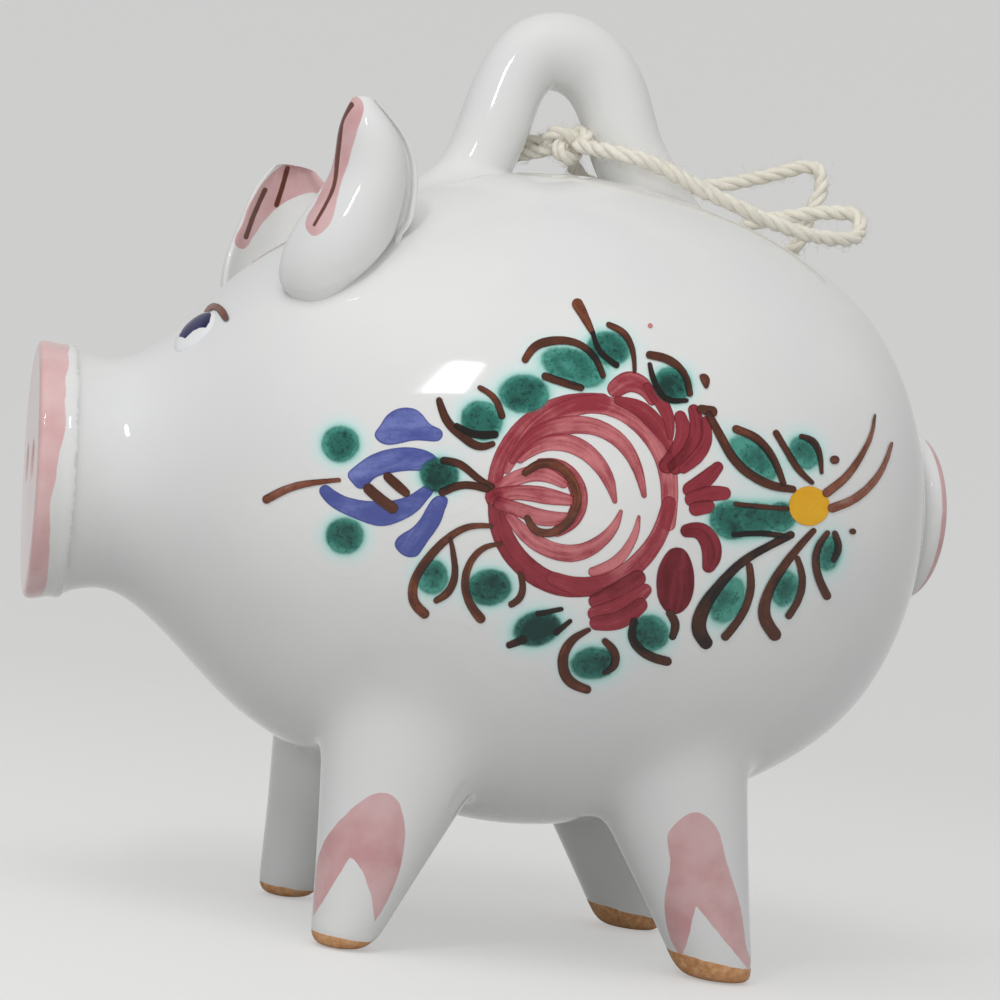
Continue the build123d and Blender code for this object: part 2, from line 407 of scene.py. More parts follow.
def glazeMaterial():
    look = glazeLook
    material, tree, shader = newMaterial("tin_glaze")
    where = objectPlace(tree)
    colour = plainGlaze(tree, where)
    # pink wash, with an uneven edge and a thinner middle
    shiver = sums(tree, "MULTIPLY", sway(tree, where, *look["raggedNoise"]), look["ragged"]["pink"])
    pinkMark = sums(tree, "ADD", readMark(tree, "pinkMark"), shiver)
    wash = noise(tree, where, *look["washNoise"])
    pink = mixColour(tree, ease(tree, wash, *look["washRange"]), look["pink"], look["pinkDeep"])
    # painted light: on the snout the pink is mixed towards the paler pink, as if it were lit brighter
    litPinkShare = sums(tree, "MULTIPLY", readMark(tree, "litPinkMark"), ease(tree, wash, *look["litPinkWash"]))
    pink = mixColour(tree, litPinkShare, pink, look["pinkLit"])
    cover = ease(tree, wash, *look["pinkWash"])
    share = sums(tree, "MULTIPLY", ease(tree, pinkMark, *look["washEdge"]), cover)
    colour = mixColour(tree, share, colour, pink)
    brownShiver = sums(tree, "MULTIPLY", shiver, look["ragged"]["brown"])
    brownMark = sums(tree, "ADD", readMark(tree, "brownMark"), brownShiver)
    colour = mixColour(tree, ease(tree, brownMark, *look["washEdge"]), colour, look["brown"])
    # a few iron specks and pinholes
    cell = add(tree, "ShaderNodeTexVoronoi", {"Vector": where, "Scale": look["speckScale"]})
    chance = add(tree, "ShaderNodeSeparateColor", {0: cell.outputs["Color"]}).outputs[0]
    rare = sums(tree, "GREATER_THAN", chance, look["speckRare"])
    speck = sums(tree, "MULTIPLY", ease(tree, cell.outputs["Distance"], *look["speckRim"]), rare)
    colour = mixColour(tree, sums(tree, "MULTIPLY", speck, look["speckStrength"]), colour, look["speck"])
    # bare clay under the feet
    crumbs = noise(tree, where, *look["crumbNoise"])
    clay = mixColour(tree, ease(tree, crumbs, *look["crumbRange"]), look["clay"], look["clayPale"])
    clayEdge = sums(tree, "MULTIPLY", sway(tree, where, *look["clayEdgeNoise"]), look["clayEdge"])
    bare = ease(tree, sums(tree, "ADD", readMark(tree, "clayMark"), clayEdge), *look["clayRim"])
    tree.links.new(mixColour(tree, bare, colour, clay), shader.inputs["Base Color"])
    # the glaze is glossy, the clay is dull
    pin = sums(tree, "MULTIPLY", ease(tree, cell.outputs["Distance"], *look["pinholeRim"]), look["pinhole"])
    rough = sums(tree, "MULTIPLY", bare, sums(tree, "MULTIPLY", crumbs, look["crumbHeight"]))
    height = sums(tree, "ADD", sums(tree, "ADD", glazeWaves(tree, where), pin), rough)
    glazeGloss(tree, shader, height)
    dull = ease(tree, bare, 0.0, 1.0, look["roughness"], look["clayRoughness"])
    tree.links.new(dull, shader.inputs["Roughness"])
    return material


glaze = glazeMaterial()
print("stage 1: camera and glaze ready")


bodyLook = {
    "middle": -0.55,
    "axisHeight": 44.6,
    "noseDown": 4.9,
    "rimStation": -43.0,
    "tipStation": 46.0,
    "ballStart": 42.515,
    "ballRadius": 28.7786,
    "inset": 0.10,
    "wobble": 0.045,
    "wall": 3.6,
    "rings": 220,
    "wallRings": 40,
    "ballRings": 26,
    "segments": 288,
    "outward": 0.05,
    "profileStep": 1.4,
    "profilePoints": 4000,
}
lean = math.radians(bodyLook["noseDown"])
bodyAxes = np.array((
    (math.cos(lean), 0, math.sin(lean)),
    (0, 1, 0),
    (-math.sin(lean), 0, math.cos(lean)),
))
bodyCentre = np.array((bodyLook["middle"], 0, bodyLook["axisHeight"]))


def toBody(spots):
    return (np.asarray(spots) - bodyCentre) @ bodyAxes.T


def fromBody(places):
    return np.asarray(places) @ bodyAxes + bodyCentre


def skinProfile():
    # the thrown profile, read from the outward faces of the frame's own body
    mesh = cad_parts["body_shell"].data
    mesh.calc_loop_triangles()
    count = len(mesh.vertices)
    spots = np.empty(count * 3, np.float32)
    mesh.vertices.foreach_get("co", spots)
    places = toBody(spots.reshape(-1, 3).astype(float) / mm)
    corners = np.empty(len(mesh.loop_triangles) * 3, np.int32)
    mesh.loop_triangles.foreach_get("vertices", corners)
    corners = corners.reshape(-1, 3)
    a, b, c = places[corners[:, 0]], places[corners[:, 1]], places[corners[:, 2]]
    facing = unit(np.cross(b - a, c - a))
    middle = (a + b + c) / 3
    outer = (facing[:, 1:] * unit(middle[:, 1:])).sum(1) > bodyLook["outward"]
    rows = places[np.unique(corners[outer])]
    station, radius = rows[:, 0], np.hypot(rows[:, 1], rows[:, 2])
    keep = station < bodyLook["ballStart"] + 0.01
    station, radius = station[keep], radius[keep]
    bins = np.round(station, 2)
    levels = np.unique(bins)
    rings = np.array([(station[bins == s].mean(), radius[bins == s].max()) for s in levels])
    chosen = [rings[0]]
    for row in rings[1:]:
        if np.hypot(*(row - chosen[-1])) > bodyLook["profileStep"]:
            chosen.append(row)
    chosen[-1] = rings[-1]
    return smoothCurve(chosen, bodyLook["profilePoints"])[:3]


profileLength, profilePlace, profileSlope = skinProfile()
ballMiddle = bodyLook["tipStation"] - bodyLook["ballRadius"]


def radiusAt(station):
    return np.interp(station, profilePlace[:, 0], profilePlace[:, 1])


def wobble(spots, size=17.0):
    # the unevenness that hands leave in clay
    x, y, z = (spots / size).T
    wave = np.sin(1.3 * x + 0.7 * z + 1.1) * np.sin(1.1 * y + 0.4 * x)
    return (wave + 0.7 * np.sin(0.9 * z - 1.2 * y + 2.0)) * np.sin(0.8 * x + 1.9)


def bodyField(spots):
    # how far outside the body's skin each spot is
    places = toBody(spots)
    station, radius = places[:, 0], np.hypot(places[:, 1], places[:, 2])
    rise = np.interp(station, profilePlace[:, 0], profileSlope[:, 1] / profileSlope[:, 0])
    side = (radius - radiusAt(station)) / np.sqrt(1 + rise**2)
    ball = np.hypot(station - ballMiddle, radius) - bodyLook["ballRadius"]
    skin = np.where(station > bodyLook["ballStart"], ball, side)
    return skin + bodyLook["inset"] + bodyLook["wobble"] * wobble(spots)


def latheMesh(rings, segments):
    # rings are (station, radius); the first and last close on a point on the axis
    turns = np.linspace(0, 2 * math.pi, segments, endpoint=False)
    spots = [(rings[0][0], 0, 0)]
    for station, radius in rings[1:-1]:
        spots.extend(zip(np.full(segments, station), radius * np.sin(turns), radius * np.cos(turns)))
    spots.append((rings[-1][0], 0, 0))
    faces = []
    rows = len(rings) - 2
    for i in range(segments):
        j = (i + 1) % segments
        faces.append((0, 1 + j, 1 + i))
        faces.append((len(spots) - 1, 1 + (rows - 1) * segments + i, 1 + (rows - 1) * segments + j))
        for row in range(rows - 1):
            k = 1 + row * segments
            faces.append((k + i, k + j, k + segments + j, k + segments + i))
    return np.array(spots, float), faces


def evenRows(rows, count):
    # rows of the profile at even steps along it
    return rowsAt(np.linspace(0, 1, count), profileLength / profileLength[-1], rows)


def buildBody():
    look = bodyLook
    radius, wall = look["ballRadius"], look["wall"]
    turns = np.linspace(math.acos((look["ballStart"] - ballMiddle) / radius), 0, look["ballRings"])[1:]
    ball = np.stack([ballMiddle + radius * np.cos(turns), radius * np.sin(turns)], 1)
    outer = np.concatenate([evenRows(profilePlace, look["rings"]), ball])[::-1]
    at, way = evenRows(profilePlace, look["wallRings"]), unit(evenRows(profileSlope, look["wallRings"]))
    inner = at + wall * np.stack([way[:, 1], -way[:, 0]], 1)
    inner[0] = (look["rimStation"], at[0, 1] - wall)
    tip = np.array([(ballMiddle + radius - wall, 0)])
    places, faces = latheMesh(np.concatenate([outer, inner, tip]), look["segments"])
    spots = fromBody(places)
    skin = np.zeros(len(spots), bool)
    skin[:1 + (len(outer) - 1) * look["segments"]] = True
    spots[skin] = settle(bodyField, spots[skin])
    normals = np.empty_like(spots)
    normals[skin] = gradient(bodyField, spots[skin])
    normals[~skin] = -gradient(bodyField, spots[~skin])
    normals[0] = bodyAxes[0]
    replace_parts(makePiece("body", spots, faces, glaze, normals), "body_shell")


buildBody()
print("stage 2: body")


lutedLook = {
    "shy": 0.004,
    "depth": 1.2,
    "fade": 0.03,
    "brimDepth": 0.3,
    "brimShare": 0.15,
}


def skinNormals(field, spots, share, brim):
    # the field's own normals, and on the brim the skin's, mixed in by share
    normals = unit(gradient(field, spots))
    share = share[:, None]
    normals[brim] = (normals * share + unit(gradient(bodyField, spots)) * (1 - share))[brim]
    return normals


def luted(name, node, field, low, high, cell, blend, marks=None):
    # a clay piece pressed on the body: its foot runs smoothly into the skin and its brim ends just under it
    shy = lutedLook["shy"]

    def reach(spots):
        return blend(spots) if callable(blend) else blend

    def joined(spots):
        own, skin = field(spots), bodyField(spots) + shy
        whole = np.maximum(smoothMin(own, skin, reach(spots)), -(skin + lutedLook["depth"]))
        return np.maximum(whole, own - reach(spots))

    spots, faces = fieldMesh(joined, low, high, cell)
    skin, own = bodyField(spots), field(spots)
    share = np.clip((skin + shy) / lutedLook["fade"], 0, 1)
    brim = (skin > -lutedLook["brimDepth"]) & (own > lutedLook["brimShare"] * reach(spots))
    normals = skinNormals(joined, spots, share, brim)
    piece = makePiece(name, spots, faces, glaze, normals, marks(spots) if marks else None)
    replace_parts(piece, node)
    return joined


legLook = {
    "track": 30.0,
    "length": 30.0,
    "reach": 26.0,
    "blend": 3.0,
    "cell": 0.4,
    "footRound": 2.6,
    "clayHeight": {"front": 1.25, "rear": 1.9},
    "claySlope": {"front": 0.06, "rear": 0.12},
    "inset": 0.05,
    # how the radius grows along the leg: evenly and with the square
    "flare": (0.84, 0.16),
    # strength and size of the unevenness, of the whole leg and of the bare foot
    "wobble": (0.06, 6.0),
    "crumble": (0.10, 0.9),
    "crumbleAbove": 0.6,
    "flat": 0.02,
    "innerSide": -0.15,
    "clayPixels": 9,  # to the millimetre
    "topAlong": 27,
    "room": (15, 14),
    "heights": (-0.6, 36),
    # foot x, foot radius, radius at the top, lean aft, lean inward
    "front_left": (-13.35, 2.85, 11.6, 12.0, 5.0),
    "front_right": (-13.35, 2.85, 11.6, 12.0, 5.0),
    "rear_left": (24.75, 3.5, 10.1, -21.0, 2.5),
    "rear_right": (26.45, 3.5, 10.1, -21.0, 2.5),
}
# painted on the legs, in pixels of the picture: the hooves, and the notches left bare in them
hoofPatches = {
    "front": [
        (382.5, 792.5), (395, 797.5), (402.5, 812.5), (405, 835), (401, 865), (392.5, 890), (380, 914),
        (366, 930), (340, 935), (314, 922), (313, 905), (315, 880), (318.5, 855), (328, 835), (345, 815),
        (364, 799),
    ],
    "rear": [
        (696, 812), (710, 819), (720, 835), (725, 855), (735, 888), (743, 920), (747.5, 950), (752, 978),
        (725, 985), (695, 972), (680, 956), (669, 935), (665, 915), (665, 895), (669.5, 870), (669, 852),
        (667.5, 835), (677, 822),
    ],
}
hoofNotches = {
    "front": [(351, 855), (363, 872), (371, 895), (375, 922), (376, 960), (300, 960), (304, 930),
        (319, 908)],
    "rear": [(696, 905), (722, 938), (746, 966), (760, 1000), (660, 1000), (682, 956), (687, 944),
        (692, 922)],
}


def buildLeg(end, hand):
    side = -1 if hand == "left" else 1
    footX, footRadius, topRadius, leanAft, leanIn = legLook[f"{end}_{hand}"]
    a, b = math.radians(side * leanIn), math.radians(leanAft)
    way = np.array((math.sin(b), -math.sin(a) * math.cos(b), math.cos(a) * math.cos(b)))
    foot = np.array((footX, side * legLook["track"] / 2, 0))
    grown = topRadius - footRadius

    def field(spots):
        look = legLook
        away = spots - foot
        along = away @ way
        off = np.linalg.norm(away - along[:, None] * way, axis=1)
        share = np.clip(along / look["length"], -0.1, 1.2)
        flare = look["flare"][0] * share + look["flare"][1] * share**2
        radius = footRadius + grown * flare - look["inset"]
        cone = (off - radius) / math.sqrt(1 + (grown / look["length"])**2)
        cone += look["wobble"][0] * wobble(spots + foot, look["wobble"][1])
        low = np.clip(look["clayHeight"][end] + look["crumbleAbove"] - spots[:, 2], 0, 1)
        cone += look["crumble"][0] * wobble(spots, look["crumble"][1]) * low
        cone = np.maximum(cone, along - look["reach"])
        return smoothMax(cone, look["flat"] - spots[:, 2], look["footRound"])

    def marks(spots):
        seen = spots * (1, -side, 1)
        if end == "rear":
            seen = seen - (footX - legLook["rear_left"][0], 0, 0)
        pixels = toPicture(seen)
        painted = np.minimum(outlineDistance(pixels, closedCurve(hoofPatches[end], outlineStep)),
                             -outlineDistance(pixels, hoofNotches[end]))
        away = spots - foot
        off = away - (away @ way)[:, None] * way
        outer = off[:, 1] * side > legLook["innerSide"] * np.linalg.norm(off, axis=1)
        slope = legLook["claySlope"][end] * (spots[:, 0] - footX)
        clayTop = legLook["clayHeight"][end] - spots[:, 2] - slope
        return {"pinkMark": asMark(np.where(outer, painted, -markReach)),
                "clayMark": asMark(clayTop * legLook["clayPixels"])}

    top = foot + way * legLook["topAlong"]
    (aft, out), (bottom, height) = legLook["room"], legLook["heights"]
    low = (min(foot[0], top[0]) - aft, min(foot[1], top[1]) - out, bottom)
    high = (max(foot[0], top[0]) + aft, max(foot[1], top[1]) + out, height)
    name = f"leg_{end}_{hand}"
    legSkins[side].append(luted(f"{name}_clay", name, field, low, high, legLook["cell"], legLook["blend"],
                                marks))


legSkins = {-1: [], 1: []}
for end in ("front", "rear"):
    for hand in ("left", "right"):
        buildLeg(end, hand)
print("stage 3: legs")


handleLook = {
    "station": 5.05,
    "span": 18.2,
    "rise": 13.2,
    "radius": 3.95,
    "inset": 0.06,
    "blend": 2.6,
    "holeBlend": 0.8,
    "holeReach": 6.5,
    "cell": 0.34,
    # strength, size and shift of the unevenness
    "wobble": (0.05, 5.0, 31),
    "holeMiddle": 0.6,
    "holeFade": 4,
    "room": ((-19, -10, -7), (22, 10, 5)),
    # along the back, up, and thickness
    "shares": [
        (-0.580, -0.439, 1.30), (-0.487, -0.165, 0.96), (-0.415, 0.116, 0.93), (-0.365, 0.392, 0.96),
        (-0.297, 0.727, 0.95), (-0.180, 0.940, 1.00), (-0.025, 1.000, 1.04), (0.130, 0.940, 1.03),
        (0.260, 0.780, 1.02), (0.350, 0.553, 1.00), (0.431, 0.318, 1.00), (0.553, 0.076, 1.03),
        (0.652, -0.190, 1.25), (0.726, -0.455, 1.50),
    ],
}


def rollField(points, radii, count=500, every=5, atOnce=20000, rounds=3):
    # a roll of clay along a curve: the distance to its nearest section's rim
    length, place, slope, bend = smoothCurve(points, count)
    reach = lengthAlong(np.asarray(points, float))
    radiusAlong = smoothCurve(np.stack([reach, radii], 1), count * 2)[1]
    thick = np.interp(length, radiusAlong[:, 0], radiusAlong[:, 1])

    def field(spots):
        # a first guess from a few points of the curve, then steps to the nearest place
        at = np.empty(len(spots))
        for part in np.array_split(np.arange(len(spots)), max(1, len(spots) // atOnce)):
            gap = ((spots[part, None, :] - place[None, ::every]) ** 2).sum(2)
            at[part] = length[::every][gap.argmin(1)]
        for turn in range(rounds):
            here, along, curl = (rowsAt(at, length, rows) for rows in (place, slope, bend))
            error = ((here - spots) * along).sum(1)
            rate = (along**2).sum(1) + ((here - spots) * curl).sum(1)
            at = np.clip(at - error / np.maximum(rate, 0.3), 0, length[-1])
        away = spots - rowsAt(at, length, place)
        return np.linalg.norm(away, axis=1) - np.interp(at, length, thick)

    return field


def buildHandle():
    look = handleLook
    base = fromBody((look["station"], 0, radiusAt(look["station"])))
    points = [base + (along * look["span"], 0, up * look["rise"]) for along, up, across in look["shares"]]
    radii = [across * look["radius"] - look["inset"] for along, up, across in look["shares"]]
    roll = rollField(points, radii)

    def field(spots):
        strength, size, shift = look["wobble"]
        return roll(spots) + strength * wobble(spots + shift, size)

    def blend(spots):
        # a wide fillet outside the arch and a tight one inside its eye
        out = np.abs(spots[:, 0] - base[0] - look["holeMiddle"]) - look["holeReach"]
        share = np.clip(out / look["holeFade"], 0, 1)
        return look["holeBlend"] + (look["blend"] - look["holeBlend"]) * share

    low, high = base + look["room"][0], base + look["room"][1] + (0, 0, look["rise"])
    luted("handle_clay", "handle_loop", field, low, high, look["cell"], blend)


buildHandle()
print("stage 4: handle")


tailLook = {
    "rollRadius": 1.4,
    "curlRadius": 7.9,
    "rise": 0.5,
    "step": 3.5,
    "halfTurns": 4,
    "stand": 0.35,
    "startTurn": -24,
    "blend": 0.45,
    "cell": 0.24,
    "inset": 0.04,
    "taper": (6, 0.75),
    "room": (4, 11, 11),
    # the pink arc: its radius, half its width, how far it stands off the rump, half its angle, its turn
    "arcRadius": 8.5,
    "arcWidth": 1.15,
    "arcBack": 0.7,
    "arcHalf": 66,
    "arcTurn": 4,
    "arcFade": 0.12,
    "arcPixels": 9,  # to the millimetre
}


def buildTail():
    look = tailLook
    points, centre, radius = [], 0.0, look["curlRadius"]
    for number in range(look["halfTurns"]):
        start = -90 if number % 2 else 90
        for turn in range(look["startTurn"] if number == 0 else 0, 180, 20):
            angle = math.radians(start + turn)
            points.append((radius * math.cos(angle), centre + radius * math.sin(angle)))
        shrink = look["step"] / 2
        centre += shrink if number % 2 else -shrink
        radius -= shrink
    curl = fromBody([(bodyLook["tipStation"] + look["stand"], x, z + look["rise"]) for x, z in points])
    radii = np.full(len(curl), look["rollRadius"] - look["inset"])
    count, thinnest = look["taper"]
    radii[-count:] *= np.linspace(1, thinnest, count)
    field = rollField(curl, radii)

    def marks(spots):
        places = toBody(spots)
        back = places[:, 0] - bodyLook["tipStation"] - look["stand"]
        ring = np.hypot(places[:, 1], places[:, 2] - look["rise"])
        arc = np.degrees(np.arctan2(places[:, 2], -places[:, 1]))
        ends = (look["arcHalf"] - np.abs(arc + look["arcTurn"])) * look["arcFade"]
        inside = look["arcWidth"] - np.abs(ring - look["arcRadius"]) - np.maximum(0, look["arcBack"] - back)
        return {"pinkMark": asMark(np.minimum(inside, ends) * look["arcPixels"])}

    middle, room = curl.mean(0), look["room"]
    luted("tail_clay", "tail_curl", field, middle - room, middle + room, look["cell"], look["blend"], marks)


buildTail()
print("stage 5: tail")


snoutLook = {
    "radius": 12.75,
    "depth": 3.3,
    "jointRadius": 12.15,
    "edgeRound": 1.5,
    "nostrilRadius": 1.35,
    "nostrilApart": 8.6,
    "nostrilRise": 0.8,
    "nostrilRound": 1.3,
    "pinkFrom": -43.95,
    "middle": 1.5,
    # waves of the pink's edge: height and number to the millimetre
    "waves": ((0.12, 0.4), (0.07, 1.3)),
    # how far the pink's edge moves aft at picture heights
    "pinkDrift": ((345, 380, 400, 418, 440, 470, 500, 540, 580),
                  (0.45, 0.0, 0.0, 0.25, 0.05, -0.5, -0.9, -0.8, -0.45)),
    "pinkPixels": 9.5,  # to the millimetre
    "inset": 0.06,
    "wobble": (0.05, 5.0, 50),
    "cell": 0.34,
    "blend": 1.6,
    "overlap": 0.02,
    "shy": 0.004,
    "collarDepth": 1.2,
    "collarLength": 2.4,
    "fadeEnd": 1.7,
    "fade": 1.3,
    "brimDepth": 0.3,
    "brimFrom": 0.4,
    "room": ((6, 14.5, 15), (7, 14.5, 15)),
}


def buildSnout():
    look = snoutLook
    face = bodyLook["rimStation"] - look["depth"]

    def field(spots):
        places = toBody(spots)
        station, radius = places[:, 0], np.hypot(places[:, 1], places[:, 2])
        share = (bodyLook["rimStation"] - station) / look["depth"]
        rim = look["jointRadius"] + share * (look["radius"] - look["jointRadius"]) - look["inset"]
        disc = smoothMax(radius - rim, face + look["inset"] - station, look["edgeRound"])
        strength, size, shift = look["wobble"]
        disc += strength * wobble(spots + shift, size)
        for side in (-1, 1):
            hole = np.hypot(places[:, 1] - side * look["nostrilApart"] / 2,
                            places[:, 2] - look["nostrilRise"])
            disc = smoothMax(disc, look["nostrilRadius"] - hole, look["nostrilRound"])
        return np.maximum(disc, station - bodyLook["rimStation"] - look["overlap"])

    def joined(spots):
        # the disc with a thin collar over the neck's rim
        neck = bodyField(spots) + look["shy"]
        past = toBody(spots)[:, 0] - bodyLook["rimStation"]
        collar = np.maximum(np.maximum(neck, -(neck + look["collarDepth"])),
                            np.maximum(past - look["collarLength"], -past))
        return smoothMin(field(spots), collar, look["blend"])

    def marks(spots):
        station = toBody(spots)[:, 0]
        (slow, slowRate), (fast, fastRate) = look["waves"]
        ragged = slow * np.sin(spots[:, 2] * slowRate) + fast * np.sin(spots[:, 2] * fastRate + spots[:, 1])
        drift = np.interp(toPicture(spots)[:, 1], *look["pinkDrift"])
        pink = asMark((look["pinkFrom"] + ragged + drift - station) * look["pinkPixels"])
        # the whole snout takes the paler pink, which is painted light for the brighter light on it
        return {"pinkMark": pink, "litPinkMark": np.ones(len(spots))}

    middle = fromBody((face + look["middle"], 0, 0))
    spots, faces = fieldMesh(joined, middle - look["room"][0], middle + look["room"][1], look["cell"])
    past = toBody(spots)[:, 0] - bodyLook["rimStation"]
    share = np.clip((look["fadeEnd"] - past) / look["fade"], 0, 1)
    brim = (bodyField(spots) > -look["brimDepth"]) & (past > look["brimFrom"])
    normals = skinNormals(joined, spots, share, brim)
    piece = makePiece("snout_clay", spots, faces, glaze, normals, marks(spots))
    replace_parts(piece, "snout_disc")


buildSnout()
print("stage 6: snout")


earLook = {
    "station": -19.8,
    "around": 38.2,
    "height": 20.0,
    "bulge": 5.4,
    "sectionPoints": 200,
    "rings": 170,
    "tipRise": 0.5,
    "pinch": 0.7,
    "pinchReach": 1.3,
    "pinchPower": 1.5,
    "crownTurns": (20, 40, 58, 72, 83),
    "stretch": (20, 6, 6, 6),
    "outsideTo": 0.56,
    "outsideFrom": {"left": 0.93, "right": 0.985},
    "lineWidths": ((100, 225), (3.1, 1.6)),
    "stripeWidth": 2.6,
    # each row: up, back, outward, width
    "left": {
        "forward": 0.0,
        "width": 11.0,
        "shares": [
            (-0.270, -0.030, -0.040, 0.55), (-0.145, -0.040, -0.040, 0.82), (-0.020, -0.010, -0.035, 0.98),
            (0.180, 0.040, -0.010, 0.93), (0.405, 0.090, 0.030, 0.75), (0.605, 0.050, 0.065, 0.58),
            (0.735, -0.010, 0.100, 0.24),
        ],
    },
    "right": {
        "forward": 0.6,
        "width": 13.6,
        "shares": [
            (-0.270, -0.030, -0.040, 0.48), (-0.145, -0.038, -0.040, 0.70), (-0.020, -0.015, -0.035, 0.86),
            (0.180, 0.008, -0.010, 0.93), (0.405, 0.035, 0.030, 0.85), (0.605, 0.038, 0.065, 0.68),
            (0.745, 0.015, 0.100, 0.36),
        ],
    },
    # one section from the front lip over the outside to the rear rim and back through the hollow:
    # across the width, outward
    "section": [
        (-1.00, 0.06), (-0.93, 0.34), (-0.70, 0.70), (-0.35, 0.95), (0.02, 1.00), (0.36, 0.88),
        (0.58, 0.66), (0.70, 0.36), (0.77, 0.13), (0.84, 0.10), (0.90, 0.26), (0.965, 0.28), (1.00, 0.10),
        (0.96, -0.12), (0.82, -0.06), (0.55, 0.28), (0.20, 0.50), (-0.20, 0.50), (-0.55, 0.32),
        (-0.82, 0.04), (-0.95, -0.10),
    ],
}
# painted on the ears, in pixels of the picture
earBand = [
    (357, 96), (363, 103), (362, 117), (354, 142), (347, 167), (340, 187), (335, 210), (327, 228),
    (313, 236), (306, 229), (306, 220), (314, 205), (324, 182), (329, 160), (331, 137), (338, 115),
    (346, 100),
]
earBandLine = [(351, 105), (342, 120), (339.5, 137), (337, 162), (334, 185), (326, 204), (314, 225)]
earInside = [
    (236, 246), (240, 228), (247, 210), (258, 190), (270, 175), (283, 165), (298, 162), (314, 168),
    (330, 184), (326, 192), (310, 193), (296, 197), (285, 202), (277, 208), (268, 217), (258, 230),
    (250, 242), (243, 249),
]
earStripes = [[(287.5, 168), (282.5, 186), (276.5, 205)], [(265, 190), (255, 212), (246, 237)]]


def earRing():
    # the closed cross-section, evenly spaced
    line = closedCurve(earLook["section"], 0.01)
    reach = lengthAlong(line)
    return rowsAt(np.linspace(0, reach[-1], earLook["sectionPoints"], endpoint=False), reach, line)


def buildEar(hand):
    look = earLook
    own = look[hand]
    side = -1 if hand == "left" else 1
    station = look["station"] - own["forward"]
    turn = math.radians(look["around"])
    radius = radiusAt(station)
    root = fromBody((station, side * radius * math.sin(turn), radius * math.cos(turn)))
    steps = smoothCurve(np.array(own["shares"]) * look["stretch"], look["rings"])[1] / look["stretch"]
    up, back, out, wide = steps[-1]
    crown = [(up + look["tipRise"] / look["height"] * math.sin(a), back, out, wide * math.cos(a))
             for a in np.radians(look["crownTurns"])]
    line = earRing()
    spots = []
    for up, back, out, wide in [*steps, *crown]:
        middle = root + np.array((back, side * out, up)) * look["height"]
        ring = middle + np.stack([line[:, 0] * wide * own["width"] / 2,
                                  side * line[:, 1] * wide * look["bulge"], 0 * line[:, 0]], 1)
        # the foot is pinched in where it meets the skin
        share = np.clip(1 - bodyField(ring) / look["pinchReach"], 0, 1) ** look["pinchPower"]
        spots.append(ring + unit(ring.mean(0) - ring) * (look["pinch"] * share)[:, None])
    count, total = len(line), len(spots)
    spots = np.concatenate(spots + [[spots[0].mean(0)], [spots[-1].mean(0) + (0, 0, 0.02)]])
    faces = []
    for i in range(count):
        j = (i + 1) % count
        faces += [(k + i, k + j, k + count + j, k + count + i) for k in range(0, (total - 1) * count, count)]
        faces.append((len(spots) - 2, j, i))
        faces.append((len(spots) - 1, (total - 1) * count + i, (total - 1) * count + j))
    if side > 0:
        faces = [face[::-1] for face in faces]
    around = np.concatenate([np.tile(np.arange(count) / count, total), [0, 0]])
    outside = (around < look["outsideTo"]) | (around > look["outsideFrom"][hand])
    nearPicture = toPicture(spots * (1, -side, 1) + (0 if side < 0 else own["forward"], 0, 0))
    farPicture = toPicture(spots * (1, side, 1))
    band = np.where(outside, outlineDistance(nearPicture, closedCurve(earBand, outlineStep)),
                    outlineDistance(farPicture, closedCurve(earInside, outlineStep)))
    lineGap = np.interp(nearPicture[:, 1], *look["lineWidths"]) - lineDistance(nearPicture, earBandLine)
    stripes = [look["stripeWidth"] - lineDistance(farPicture, stripe) for stripe in earStripes]
    stripeGap = np.max(stripes, axis=0)
    marks = {"pinkMark": asMark(band), "brownMark": asMark(np.where(outside, lineGap, stripeGap))}
    piece = makePiece(f"ear_{hand}_clay", spots, faces, glaze, None, marks)
    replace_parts(piece, f"ear_{hand}")


for hand in ("left", "right"):
    buildEar(hand)
print("stage 7: ears")


